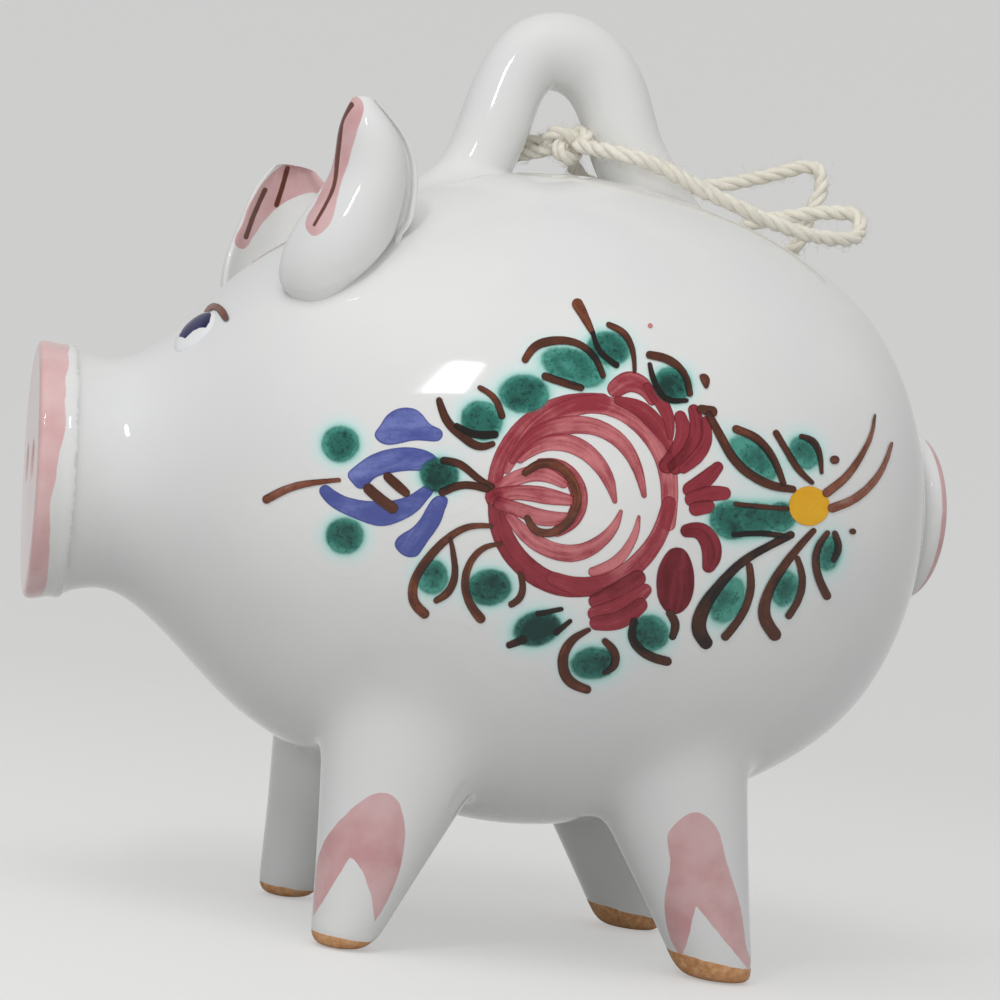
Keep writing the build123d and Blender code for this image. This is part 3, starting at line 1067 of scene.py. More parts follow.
# each has its load of paint and its shape, in pixels of the picture: a stroke has rows of (x, y, width),
# a dab is (x, y, long, short, tilt), and an outline has points (x, y)
paintStrokes = {
    "green": [
        (0.45, (340.7, 444, 36, 34.7, 0)), (0.55, (345, 535.7, 36.7, 34.7, 0)),
        (0.95, (439.3, 475, 37.3, 33.3, 10)), (0.5, (481.7, 420.7, 40.7, 37.3, 20)),
        (0.55, (524, 394, 48.7, 37.3, 0)), (0.35, (573.3, 367.7, 63.3, 34.7, 20)),
        (0.5, (608.3, 348.7, 41.3, 32.7, 10)), (0.7, (671.7, 385, 37.3, 34.7, 10)),
        (0.55, (432.3, 576.7, 30, 33.3, 0)), (0.7, (489.3, 587.3, 43.3, 34.7, -5)),
        (0.95, (537.3, 628.3, 46.7, 32.7, -15)), (0.75, (593.3, 662.7, 44, 30.7, -5)),
        (0.5, (649.3, 633.3, 37.3, 35.3, 0)), (0.3, (753.3, 458.3, 55, 29.3, 40)),
        (0.3, (804, 452.7, 33.3, 28, 55)), (0.6, (731.7, 520, 43.3, 37.3, 10)),
        (0.45, (756.7, 519.3, 36.7, 32, 5)), (0.6, (780, 516.7, 30, 28, 0)),
        (0.15, (727.3, 600, 29.3, 46.7, 25)), (0.3, (784, 588.3, 24.7, 34.7, 15)),
        (0.4, (827.3, 553.3, 24, 32.7, 10)),
    ],
    "blue": [
        (0.32, [(374.7, 436), (379.3, 426.7), (386, 416.7), (395, 410), (406.7, 407.7), (416.7, 410),
            (424, 416.7), (431.7, 425), (442.7, 432.7), (440.7, 439.3), (430, 441.3), (413.3, 440.7),
            (396.7, 444), (387.3, 444.7), (378.7, 441.3)]),
        (0.36, [(347.7, 474), (352.7, 468.3), (363.3, 460), (376.7, 452.7), (391.7, 448.7), (406.7, 447.3),
            (421.7, 449.3), (432.7, 454), (438, 460.7), (434.7, 467.3), (423.3, 470.7), (410, 470.7),
            (396.7, 472), (383.3, 474.7), (371.7, 480.7), (365, 488), (359.3, 488.7), (352.7, 483.3)]),
        (0.4, [(320, 488.3), (324.7, 485), (333.3, 489.3), (345, 496), (360, 500), (376.7, 501.3),
            (395, 500), (411.7, 494), (424, 486), (432, 483.3), (434, 488.7), (428.3, 498.7), (420, 508.7),
            (408.3, 517.3), (395, 523.3), (380, 526), (365, 522.3), (348.3, 515.7), (333.3, 507.7),
            (324, 499.3)]),
        (0.45, [(434.7, 497.3), (441.3, 495.3), (447.3, 498), (446, 507.3), (440, 523.3), (430.7, 537.3),
            (422, 550), (416.7, 556), (407.3, 556.7), (399.3, 552), (394.7, 544), (398.7, 536.7),
            (410, 529.3), (420, 519.3), (427.3, 506.7)]),
    ],
    "red": [
        (0.42, [(492.7, 500, 13.3), (497.3, 470, 15.3), (513.3, 440, 18.7), (539.3, 416.7, 20.7),
            (570, 404, 19.3), (601.7, 402, 17.3)]),
        (0.26, [(506.7, 470, 8), (526.7, 438.3, 14.7), (553.3, 416.7, 18.7), (586.7, 404.7, 18.7),
            (620, 410, 19.3), (646.7, 430, 20), (663.3, 456.7, 19.3), (669.3, 490, 17.3),
            (668, 523.3, 15.3)]),
        (0.72, [(495.3, 496.7, 14.7), (500, 526.7, 20), (513.3, 553.3, 22), (535, 574, 22),
            (563.3, 586, 20.7), (593.3, 587.3, 17.3)]),
        (0.4, [(553.3, 578.3, 13.3), (583.3, 586.7, 19.3), (613.3, 580, 20), (640, 560.7, 18.7),
            (659.3, 533.3, 16.7), (668.7, 503.3, 14)]),
        (0.26, [(513.3, 460, 8.7), (533.3, 438.3, 16.7), (563.3, 426, 18.7), (593.3, 426.7, 16.7),
            (618.3, 440, 14.7), (635, 463.3, 11.3), (644, 495.3, 5.3)]),
        (0.2, [(520, 460, 7.3), (546.7, 443.3, 15.3), (573.3, 445, 18), (595, 460, 16), (608.3, 480, 12),
            (614.7, 501.3, 4.7)]),
        (0.22, [(510, 516.7, 10), (526.7, 535, 15.3), (550, 549.3, 16.7), (576.7, 552.7, 16.7),
            (600, 541.7, 13.3), (615, 525, 8.7), (620.7, 511.3, 4)]),
        (0.1, [(593.3, 571.7, 10), (613.3, 563.3, 11.3), (628.3, 546.7, 9.3), (636, 530, 6.7),
            (638.7, 516.7, 3.3)]),
        (0.4, [(540, 462, 7.3), (560, 466.7, 13.3), (575.3, 483.3, 16.7), (579.3, 501.3, 16.7),
            (571.3, 520.7, 15.3), (556.7, 531.3, 11.3)]),
        (0.22, [(496.7, 490, 13.3), (520, 476.7, 15.3), (543.3, 474, 15.3), (563.3, 483.3, 10)]),
        (0.28, [(493.3, 496.7, 16.7), (516.7, 492.7, 14.7), (543.3, 495.3, 16.7), (568.3, 500, 11.3)]),
        (0.24, [(500, 503.3, 13.3), (523.3, 511.3, 14.7), (546.7, 518.3, 16), (565, 517.3, 10)]),
        (0.42, [(616, 388.7, 18), (628.3, 382, 20.7), (643.3, 387.3, 16.7), (652, 400.7, 10)]),
        (0.5, [(618.3, 400.7, 8.7), (640, 409.3, 16), (656.7, 425.3, 16.7), (668, 443.3, 10),
            (670, 452.7, 4.7)]),
        (0.55, [(646.7, 386.7, 8), (660.7, 402.7, 13.3), (668.7, 420, 11.3), (670, 436.7, 6.7)]),
        (0.62, [(680, 416.7, 12), (683.3, 433.3, 16), (677.3, 451.7, 17.3), (666.7, 465.3, 16.7)]),
        (0.72, [(693.3, 410, 11.3), (697.3, 430, 16), (690.7, 450, 16.7), (675.3, 466.7, 16)]),
        (0.6, [(705.3, 420.7, 8.7), (706, 440, 11.3), (696.7, 456.7, 13.3), (683.3, 468.7, 10)]),
        (0.7, [(690, 489.3, 15.3), (703.3, 480.7, 16.7), (717.3, 467.3, 11.3)]),
        (0.6, [(691.7, 499.3, 14.7), (708.3, 494, 16), (724, 493.3, 13.3)]),
        (0.62, [(696, 508.7, 14.7), (708, 506.7, 13.3)]),
        (0.85, [(686.7, 530.7, 13.3), (698.7, 530.7, 16.7), (709.3, 542, 20), (711.3, 556.7, 18.7),
            (708.7, 566, 13.3)]),
        (1, [(676.7, 560, 25.3), (675.3, 576.7, 37.3), (674.7, 593.3, 34.7), (673.3, 604, 20)]),
        (0.72, [(596, 600.7, 15.3), (616.7, 591.7, 19.3), (637.3, 578.3, 16.7)]),
        (0.5, [(594.7, 613.3, 14.7), (620, 606.7, 19.3), (644.7, 590, 13.3)]),
        (0.62, [(596.7, 622.7, 14.7), (618.3, 620, 18), (640, 605, 14.7)]),
        (-0.3, (650, 326, 5, 5, 0)),
    ],
    "yellow": [
        (0.5, (808.7, 506, 40.7, 39.3, 0)),
    ],
    "brown": [
        (0.16, [(267.2, 499.2, 8.8), (288, 488.8, 8), (316, 482.4, 6), (339.2, 480, 4.4)]),
        (0.45, [(368.7, 488.7, 10.7), (381.7, 500, 11.3), (392.7, 508, 11.3)]),
        (0.45, [(388, 476.7, 9.3), (398.3, 486, 10), (406, 492.7, 8.7)]),
        (0.6, [(444, 460.7, 8), (459.3, 464, 8), (476.7, 477.3, 7.3), (491.3, 486.7, 6.7)]),
        (0.6, [(442.7, 492, 8.7), (462, 485.3, 8), (486.7, 488.7, 8)]),
        (0.6, [(439.3, 400.7, 6.7), (446.7, 420, 8.7), (463.3, 437.3, 8.7), (482.7, 446.7, 8),
            (492.7, 444, 6)]),
        (0.9, [(456.7, 426, 6), (473.3, 434, 8), (494.7, 434.7, 8)]),
        (0.5, [(480, 388, 5.3), (494, 398, 6.7), (502, 416, 7.3)]),
        (0.5, [(525.3, 360, 7.3), (534, 348, 8.7), (553.3, 341.3, 8.7), (577.3, 344, 7.3),
            (595.3, 359.3, 6.7), (602.7, 376, 6)]),
        (0.5, [(545.3, 376.7, 8), (562.7, 382.7, 8), (580.7, 388, 7.3)]),
        (0.25, [(577.3, 304.7, 11.3), (584, 316.7, 9.3), (592.7, 334, 5.3)]),
        (0.95, [(592.7, 334, 4.7), (600, 352, 6), (616, 365.3, 6.7)]),
        (0.5, [(608.7, 325.3, 6), (622.7, 333.3, 7.3), (632, 350, 6), (634.3, 371.3, 4)]),
        (0.5, [(649.3, 355.3, 8), (667.3, 360, 8.7), (683.3, 374, 7.3), (689.3, 394, 6.7)]),
        (0.9, [(649.3, 364.7, 4.7), (654, 382, 6), (666.7, 399.3, 6), (686, 400.7, 4.7)]),
        (0.5, [(701.3, 376.7, 4.7), (704, 378.7, 8.7), (705.7, 386.7, 4.7)]),
        (0.35, [(525.3, 472.7, 7.3), (536.7, 465.3, 8.7), (554.7, 464.7, 8.7), (570.7, 478.7, 8.7),
            (577.3, 500, 8.7), (568.7, 520.7, 8.7), (550.7, 532.7, 8.7), (534.7, 529.3, 8),
            (527.3, 518, 6.7)]),
        (0.4, [(491.3, 526, 4.7), (469.3, 526.7, 6.7), (446.7, 539.3, 8), (424.7, 563.3, 9.3),
            (413.3, 586.7, 9.3), (414.7, 602, 10), (424.7, 613.3, 10)]),
        (0.5, [(450.7, 538, 4), (454, 557.3, 6), (454.7, 576.7, 7.3), (447.3, 592.7, 8),
            (436.7, 600, 6.7)]),
        (0.4, [(501.3, 543.3, 4), (484, 548, 6), (469.3, 564.7, 7.3), (465.3, 586, 8), (470.7, 604, 8.7),
            (480.7, 618, 10)]),
        (0.5, [(520.7, 574, 6), (522.7, 586, 6.7), (519.3, 598, 7.3), (511.3, 604, 6.7)]),
        (0.8, [(509.3, 644.7, 6.7), (522.7, 639.3, 8.7)]),
        (0.85, [(561.3, 608.7, 4.7), (538, 613.3, 6)]),
        (0.85, [(570, 620.7, 4.7), (556, 632, 6.7)]),
        (0.5, [(588.7, 629.3, 4.7), (570.7, 641.3, 8.7), (562.7, 663.3, 10.7), (569.3, 680, 10.7),
            (586.7, 688.7, 8.7)]),
        (0.5, [(604.7, 640.7, 6.7), (614, 652, 8.7), (613.3, 665.3, 8), (604, 672, 4.7)]),
        (0.8, [(634, 620.7, 7.3), (632, 636.7, 8.7), (646.7, 654, 9.3), (666.7, 660.7, 9.3)]),
        (0.7, [(669.3, 612.7, 8), (674.7, 623.3, 8.7), (672, 636, 7.3)]),
        (0.5, [(700.7, 409.3, 8.7), (711.3, 412, 11.3)]),
        (0.5, [(708.3, 415, 7.3), (719.3, 435.3, 8.7), (734, 460, 9.3), (754, 477.3, 9.3),
            (773.3, 486, 8.7), (792, 489.3, 7.3)]),
        (0.5, [(735.3, 429.3, 8), (753.3, 437.3, 8.7), (770.7, 456, 8), (782.7, 483.3, 6)]),
        (0.5, [(775.3, 433.3, 6.7), (787.3, 453.3, 6.7), (798.7, 470.7, 6.7), (811.3, 482.7, 4.7)]),
        (0.5, [(800.7, 436.7, 5.3), (811.3, 441.3, 7.3), (818.7, 455.3, 6), (820.7, 472.7, 4)]),
        (0.5, [(833.3, 460, 8.7)]),
        (0.5, [(851.3, 531.3, 6)]),
        (0.16, [(826, 492.7, 9.3), (844.7, 477.3, 8), (861.3, 454, 6), (870.7, 433.3, 4.3),
            (874, 415.3, 2.7)]),
        (0.06, [(831.3, 508, 9.3), (851.3, 500, 8.7), (871.3, 483.3, 7.3), (884, 463.3, 5.3),
            (890.7, 443.3, 3.3)]),
        (0.15, [(734.7, 504, 4.7), (760, 506.7, 5.3), (786.7, 508.7, 4.7)]),
        (0.85, [(733.3, 534.7, 5.3), (760, 533.3, 6), (786.7, 536.7, 5.3)]),
        (0.85, [(790, 534.7, 8), (769.3, 545.3, 8), (744, 560, 8.7), (717.3, 586.7, 10.7),
            (701.3, 611.7, 14), (698.7, 630, 14.7), (705.3, 642, 13.3)]),
        (0.5, [(748.7, 565.3, 6.7), (750, 586.7, 8), (742, 612.7, 8), (724.7, 636, 8.7)]),
        (0.5, [(812.7, 530.7, 6), (794.7, 550.7, 8), (778, 573.3, 9.3), (766, 596.7, 10.7),
            (764, 616, 12.7), (774, 634, 12.7)]),
        (0.5, [(796.7, 558, 5.3), (801.3, 576.7, 7.3), (798, 598, 7.3), (788, 615.3, 7.3)]),
        (0.5, [(826.7, 532.7, 5.3), (816.7, 548.7, 7.3), (816.7, 573.3, 8), (826, 595.3, 8.7)]),
        (0.5, [(834, 533.3, 6), (837.3, 548, 7.3), (832.7, 560, 5.3)]),
        (0.22, [(206.3, 312.8, 2.8), (210, 309, 4.8), (215, 307, 6), (219.6, 309, 6.8), (223.8, 314, 7.6),
            (226.3, 318.6, 6.4)]),
    ],
}
paintStrokes["halo"] = paintStrokes["green"]
paintLook = {
    "step": 1.7,
    "lift": {"halo": 0.015, "blue": 0.045, "red": 0.045, "green": 0.075, "yellow": 0.10, "brown": 0.10},
    "layer": 0.0010,
    "depth": 0.05,
    "spread": {"halo": 25.0, "green": 4.0},
    "margin": 3.0,
    "pixel": 0.103,
    "farShift": 0.7,
    "seed": 5,
    "outlineStep": 2.0,
    "lineStep": 1.5,
    "fewest": 12,
    "overlapSoft": {"own": 3, "green": 6},
    "haloJoin": 4,
    "rayStart": 172.0,
    "raySteps": 36,
    "rayShare": 0.92,
}
pigmentLook = {
    # copper that has bled into the white round each green dab
    "halo": {
        "thin": (0.60, 0.82, 0.80, 1), "mid": (0.26, 0.64, 0.56, 1), "spread": 2.3, "strength": 0.95,
        "inner": (-0.8, 0.1), "fade": 1.45, "bleed": 0.2, "ragged": 0.25,
    },
    "green": {
        "thin": (0.075, 0.33, 0.265, 1), "mid": (0.020, 0.150, 0.118, 1), "deep": (0.005, 0.040, 0.033, 1),
        "streak": 0.10, "hairs": 1.0, "pool": 0.0, "poolWidth": 0.3, "overlap": 0.15,
        "cloud": 1.5, "speckle": 0.7, "ragged": 0.42, "soft": 0.26,
    },
    "blue": {
        "thin": (0.20, 0.24, 0.56, 1), "mid": (0.072, 0.092, 0.33, 1), "deep": (0.022, 0.024, 0.15, 1),
        "streak": 0.42, "hairs": 2.0, "pool": 0.30, "poolWidth": 0.20, "overlap": 0.2,
        "cloud": 0.5, "speckle": 0.15, "ragged": 0.10, "soft": 0.05,
    },
    "red": {
        "thin": (0.63, 0.205, 0.215, 1), "mid": (0.30, 0.030, 0.046, 1), "deep": (0.125, 0.003, 0.009, 1),
        "streak": 0.36, "hairs": 2.3, "pool": 0.32, "poolWidth": 0.13, "overlap": 0.17,
        "cloud": 0.55, "speckle": 0.10, "ragged": 0.10, "soft": 0.05,
    },
    "yellow": {
        "thin": (0.90, 0.57, 0.03, 1), "mid": (0.82, 0.42, 0.012, 1), "deep": (0.60, 0.20, 0.006, 1),
        "streak": 0.15, "hairs": 1.0, "pool": 0.12, "poolWidth": 0.25, "overlap": 0.0,
        "cloud": 1.1, "speckle": 0.1, "ragged": 0.16, "soft": 0.06,
    },
    "brown": {
        "thin": (0.29, 0.080, 0.036, 1), "mid": (0.085, 0.024, 0.011, 1), "deep": (0.010, 0.007, 0.006, 1),
        "streak": 0.35, "hairs": 1.4, "pool": 0.25, "poolWidth": 0.16, "overlap": 0.25,
        "cloud": 0.8, "speckle": 0.2, "ragged": 0.09, "soft": 0.04,
    },
}

brushLook = {
    # each noise: scale, detail, roughness
    "edgeNoise": (1100.0, 4.0, 0.65),
    "hairNoise": (1.0, 2.5, 0.55),
    "cloudNoise": (420.0, 3.0),
    "grainNoise": (2600.0, 4.0, 0.8),
    "grainRange": (0.50, 0.62),
    "grainStrength": 0.6,
    "hairLength": 0.22,
    "hairSeed": 40.0,
    "greenRim": (0.0, 0.9, -0.35, 0.15),
    "brownOnGreen": 0.5,
    "brownThin": (-0.25, 0.35, 0.55, 1.0),
    "toMid": (0.0, 0.55),
    "toDeep": (0.55, 1.15),
    "specular": 0.35,
    "haloSpecular": 0.5,
}


def pigmentMaterial(name):
    look, brush = pigmentLook[name], brushLook
    material, tree, shader = newMaterial(f"paint_{name}")
    where = objectPlace(tree)
    edge, along, across, seed, load, overlap, onGreen = (readMark(tree, key) for key in paintMarks)
    border = sums(tree, "MULTIPLY_ADD", sway(tree, where, *brush["edgeNoise"]), look["ragged"], edge)
    if name == "halo":
        spread = sums(tree, "POWER", ease(tree, border, -look["spread"], look["bleed"]), look["fade"])
        colour = mixColour(tree, ease(tree, edge, *look["inner"]), look["thin"], look["mid"])
        share = sums(tree, "MULTIPLY", spread, look["strength"])
        colour = mixColour(tree, share, plainGlaze(tree, where), colour)
    else:
        alpha = ease(tree, border, -look["soft"], look["soft"])
        brushed = add(tree, "ShaderNodeCombineXYZ", {
            0: sums(tree, "MULTIPLY", along, brush["hairLength"]),
            1: sums(tree, "MULTIPLY", across, look["hairs"]),
            2: sums(tree, "MULTIPLY", seed, brush["hairSeed"])}).outputs[0]
        grains = ease(tree, noise(tree, where, *brush["grainNoise"]), *brush["grainRange"])
        density = load
        for part, amount in ((sway(tree, brushed, *brush["hairNoise"]), look["streak"] * 2),
                             (sway(tree, where, *brush["cloudNoise"]), look["cloud"]),
                             (overlap, look["overlap"])):
            density = sums(tree, "MULTIPLY_ADD", part, amount, density)
        density = sums(tree, "ADD", density, ease(tree, border, 0.0, look["poolWidth"], look["pool"], 0.0))
        density = sums(tree, "MULTIPLY_ADD", grains, look["speckle"] * brush["grainStrength"], density)
        if name == "green":
            # thinner towards the rim
            density = sums(tree, "ADD", density, ease(tree, border, *brush["greenRim"]))
        if name == "brown":
            density = sums(tree, "MULTIPLY_ADD", onGreen, brush["brownOnGreen"], density)
            alpha = sums(tree, "MULTIPLY", alpha, ease(tree, density, *brush["brownThin"]))
        colour = mixColour(tree, ease(tree, density, *brush["toMid"]), look["thin"], look["mid"])
        colour = mixColour(tree, ease(tree, density, *brush["toDeep"]), colour, look["deep"])
        tree.links.new(alpha, shader.inputs["Alpha"])
    tree.links.new(colour, shader.inputs["Base Color"])
    specular = brush["haloSpecular" if name == "halo" else "specular"]
    glazeGloss(tree, shader, glazeWaves(tree, where), specular)
    return material


def strokeEdge(pixels, stroke):
    # how far inside the stroke each point is, and where along and across it, in pixels
    if isinstance(stroke, list) and len(stroke[0]) == 2:
        outline = closedCurve(stroke, paintLook["outlineStep"])
        middle = outline.mean(0)
        way = np.linalg.svd(outline - middle, full_matrices=False)[2]
        half = np.abs((outline - middle) @ way[1]).max()
        along, across = (pixels - middle) @ way[0], (pixels - middle) @ way[1] / half
        return outlineDistance(pixels, outline), along, across
    if isinstance(stroke, tuple):
        x, y, long, short, tilt = stroke
        turn = math.radians(tilt)
        u = (pixels[:, 0] - x) * math.cos(turn) + (pixels[:, 1] - y) * math.sin(turn)
        v = (pixels[:, 1] - y) * math.cos(turn) - (pixels[:, 0] - x) * math.sin(turn)
        edge = (1 - np.hypot(u / long * 2, v / short * 2)) * min(long, short) / 2
        return edge, u, v / short * 2
    rows = stroke if len(stroke) > 1 else [stroke[0], (stroke[0][0] + 1, stroke[0][1], stroke[0][2])]
    length = sum(math.dist(a[:2], b[:2]) for a, b in zip(rows, rows[1:]))
    count = int(max(paintLook["fewest"], length / paintLook["lineStep"]))
    reach, line, slope = smoothCurve(rows, count)[:3]
    away = pixels[:, None, :] - line[None, :, :2]
    inside = line[None, :, 2] / 2 - np.linalg.norm(away, axis=2)
    best = inside.argmax(1)
    rank = np.arange(len(pixels))
    side = unit(slope[best, :2])
    sideways = away[rank, best, 0] * side[:, 1] - away[rank, best, 1] * side[:, 0]
    return inside[rank, best], reach[best], sideways / np.maximum(line[best, 2] / 2, 1)


def gridPatch(keep):
    # kept cells of a grid: which corners they use, their faces, and the edges of their rim
    rows, cols = keep.shape
    used = np.zeros((rows + 1, cols + 1), bool)
    for i in (0, 1):
        for j in (0, 1):
            used[i:rows + i, j:cols + j] |= keep
    number = np.full(used.shape, -1)
    number[used] = np.arange(used.sum())
    r, c = np.nonzero(keep)
    corner = {(i, j): number[r + i, c + j] for i in (0, 1) for j in (0, 1)}
    faces = np.stack([corner[0, 0], corner[1, 0], corner[1, 1], corner[0, 1]], 1)
    wider = np.pad(keep, 1)
    sides = (((-1, 0), (0, 1), (0, 0)), ((1, 0), (1, 0), (1, 1)),
             ((0, -1), (0, 0), (1, 0)), ((0, 1), (1, 1), (0, 1)))
    rim = []
    for (i, j), a, b in sides:
        bare = ~wider[r + 1 + i, c + 1 + j]
        rim.append(np.stack([corner[a][bare], corner[b][bare]], 1))
    return used, faces, np.concatenate(rim)


def flankSkin(side):
    def skin(spots):
        value = bodyField(spots)
        for leg in legSkins[side]:
            value = np.minimum(value, leg(spots))
        return value
    return skin


def skinUnder(pixels, skin):
    # where the camera's rays through these picture points meet the skin
    rays = pictureRays(np.asarray(pixels, float))
    along = np.full(len(rays), paintLook["rayStart"])
    for step in range(paintLook["raySteps"]):
        along = along + paintLook["rayShare"] * skin(camSpot + rays * along[:, None])
    return camSpot + rays * along[:, None]


def pixelGrid(edgeOf, box, margin, step):
    # a grid of picture points over one stroke, with the cells that it touches
    x = np.arange(box[0] - margin, box[2] + margin + step, step)
    y = np.arange(box[1] - margin, box[3] + margin + step, step)
    grid = np.stack(np.meshgrid(x, y), -1)
    marks = edgeOf(grid.reshape(-1, 2))
    edge = marks[0].reshape(grid.shape[:2])
    highest = np.maximum.reduce([edge[:-1, :-1], edge[1:, :-1], edge[:-1, 1:], edge[1:, 1:]])
    used, faces, rim = gridPatch(highest > -margin)
    pick = used.reshape(-1)
    return grid.reshape(-1, 2)[pick], [np.asarray(m)[pick] for m in marks], faces, rim


def strokeBox(stroke):
    # the picture's box round one stroke
    rows = [(stroke[0], stroke[1], max(stroke[2:4]))] if isinstance(stroke, tuple) else stroke
    x, y, wide = np.array([(*row, 4) if len(row) == 2 else row for row in rows]).T
    reach = wide / 2 + 2
    return (x - reach).min(), (y - reach).min(), (x + reach).max(), (y + reach).max()


def sheetSolid(faces, rim, count):
    # the top, the underside and the rim of a thin closed sheet
    side = np.stack([rim[:, 1], rim[:, 0], rim[:, 0] + count, rim[:, 1] + count], 1)
    return np.concatenate([faces, faces[:, ::-1] + count, side])


def farSide(spots, shift):
    # the same place on the other flank, a little shifted by hand
    x, y, z = spots.T
    slide = np.stack([np.sin(z / 13 + 1), 0 * y, np.sin(x / 17 + 0.5)], 1)
    return np.stack([x, -y, z], 1) + shift * slide


def flankSheet(grid, side, nearSkin, skin, shift):
    # a grid of picture points laid on the near flank, or the same mirrored on the far one
    pixels, marks, sheet, rim = grid
    place = skinUnder(pixels, nearSkin)
    if side > 0:
        place = farSide(place, shift)
        sheet, rim = sheet[:, ::-1], rim[:, ::-1]
    place = settle(skin, place, 2)
    return place, unit(gradient(skin, place)), sheetSolid(sheet, rim, len(place))


def haloEdge(pixels):
    # how far inside the nearest green dab, running together where they are close
    edges = np.stack([strokeEdge(pixels, dab)[0] for load, dab in paintStrokes["halo"]])
    join = paintLook["haloJoin"]
    edge = join * np.log(np.exp(edges / join).sum(0))
    return edge, 0 * edge, 0 * edge


def covered(pixels, strokes, soft):
    # how many of these strokes cover each point
    return sum(np.clip(strokeEdge(pixels, stroke)[0] / soft + 0.5, 0, 1) for stroke in strokes)


def handOf(side):
    return "left" if side < 0 else "right"


def paintPigment(name, side):
    look = paintLook
    material = pigmentMaterials[name]
    margin = look["spread"].get(name, look["margin"])
    skin = flankSkin(side)
    rng = np.random.default_rng(look["seed"])
    spots, normals, faces, total = [], [], [], 0
    marks = {key: [] for key in paintMarks}
    strokes, greenDabs = ([shape for load, shape in paintStrokes[key]] for key in (name, "green"))
    jobs = [(load, strokeBox(stroke), lambda points, stroke=stroke: strokeEdge(points, stroke))
            for load, stroke in paintStrokes[name]]
    if name == "halo":
        boxes = np.array([box for load, box, edgeOf in jobs])
        jobs = [(0, (*boxes[:, :2].min(0), *boxes[:, 2:].max(0)), haloEdge)]
    for order, (load, box, edgeOf) in enumerate(jobs):
        grid = pixelGrid(edgeOf, box, margin, look["step"])
        pixels, (edge, along, across) = grid[:2]
        place, facing, sheet = flankSheet(grid, side, flankSkin(-1), skin, look["farShift"])
        lift = look["lift"][name] + look["layer"] * order
        count = len(place)
        spots += [place + facing * lift, place - facing * look["depth"]]
        normals += [facing, -facing]
        faces.append(sheet + total)
        total += 2 * count
        below = covered(pixels, strokes[:order], look["overlapSoft"]["own"])
        green = covered(pixels, greenDabs, look["overlapSoft"]["green"])
        own = (edge * look["pixel"], along * look["pixel"], across, np.full(count, rng.random()),
               np.full(count, load), below * np.ones(count), np.minimum(green, 1))
        for key, values in zip(marks, own):
            marks[key] += [values, values]
    spots, normals = np.concatenate(spots), np.concatenate(normals)
    marks = {key: np.concatenate(values) for key, values in marks.items()}
    makePiece(f"{name}_{handOf(side)}", spots, np.concatenate(faces), material, normals, marks)


paintMarks = ("edge", "along", "across", "seed", "load", "overlap", "onGreen")
pigmentMaterials = {name: pigmentMaterial(name) for name in pigmentLook}
for side in (-1, 1):
    for name in pigmentLook:
        paintPigment(name, side)
print("stage 8: painted flowers")


eyeLook = {
    "oval": (194.5, 332.0, 54.0, 21.5, -44.5),
    "height": 0.42,
    "sunk": 0.08,
    "step": 1.2,
    "margin": 0.6,
    "farShift": 0.25,
    "shoulder": 9.5,
    "roundness": 2.4,
    "patchNoise": (700.0, 3.0),
    "patchRange": (0.4, 0.7),
    "edgeNoise": (1500.0, 3.0),
    "ragged": 0.06,
    "pupilEdge": (0.485, 0.515),
    "specular": 0.15,
    "white": (0.80, 0.81, 0.82, 1),
    "pupil": (0.020, 0.022, 0.12, 1),
    "pupilDeep": (0.008, 0.008, 0.04, 1),
}
eyePupil = [
    (180.4, 339.4), (182.5, 335), (187.5, 327), (193.8, 320.6), (200, 316.3), (206.9, 313.8),
    (211.3, 312.8), (212.5, 316.3), (211.3, 323.8), (207.5, 329.4), (202.5, 330.6), (196.3, 333.8),
    (191.3, 338.1), (187.5, 341.3), (184.4, 340),
]


def eyeMaterial():
    look = eyeLook
    material, tree, shader = newMaterial("eye_slip")
    where = objectPlace(tree)
    patch = ease(tree, noise(tree, where, *look["patchNoise"]), *look["patchRange"])
    blue = mixColour(tree, patch, look["pupil"], look["pupilDeep"])
    shiver = sums(tree, "MULTIPLY", sway(tree, where, *look["edgeNoise"]), look["ragged"])
    mark = ease(tree, sums(tree, "ADD", readMark(tree, "pupilMark"), shiver), *look["pupilEdge"])
    tree.links.new(mixColour(tree, mark, look["white"], blue), shader.inputs["Base Color"])
    glazeGloss(tree, shader, glazeWaves(tree, where), look["specular"])
    return material


def buildEye(side, material):
    look = eyeLook
    oval = look["oval"]
    grid = pixelGrid(lambda points: strokeEdge(points, oval), strokeBox(oval), look["margin"], look["step"])
    pixels, edge = grid[0], grid[1][0]
    place, facing, sheet = flankSheet(grid, side, bodyField, bodyField, look["farShift"])
    share = np.clip(edge / look["shoulder"], 0, 1)[:, None]
    rise = (look["height"] + look["sunk"]) * np.sqrt(1 - (1 - share) ** look["roundness"]) - look["sunk"]
    spots = np.concatenate([place + facing * rise, place - facing * look["sunk"] * 2])
    pupil = asMark(outlineDistance(pixels, eyePupil))
    marks = {"pupilMark": np.concatenate([pupil, 0 * pupil])}
    makePiece(f"eye_{handOf(side)}", spots, sheet, material, None, marks)


eyeSlip = eyeMaterial()
for side in (-1, 1):
    buildEye(side, eyeSlip)
print("stage 9: eyes")


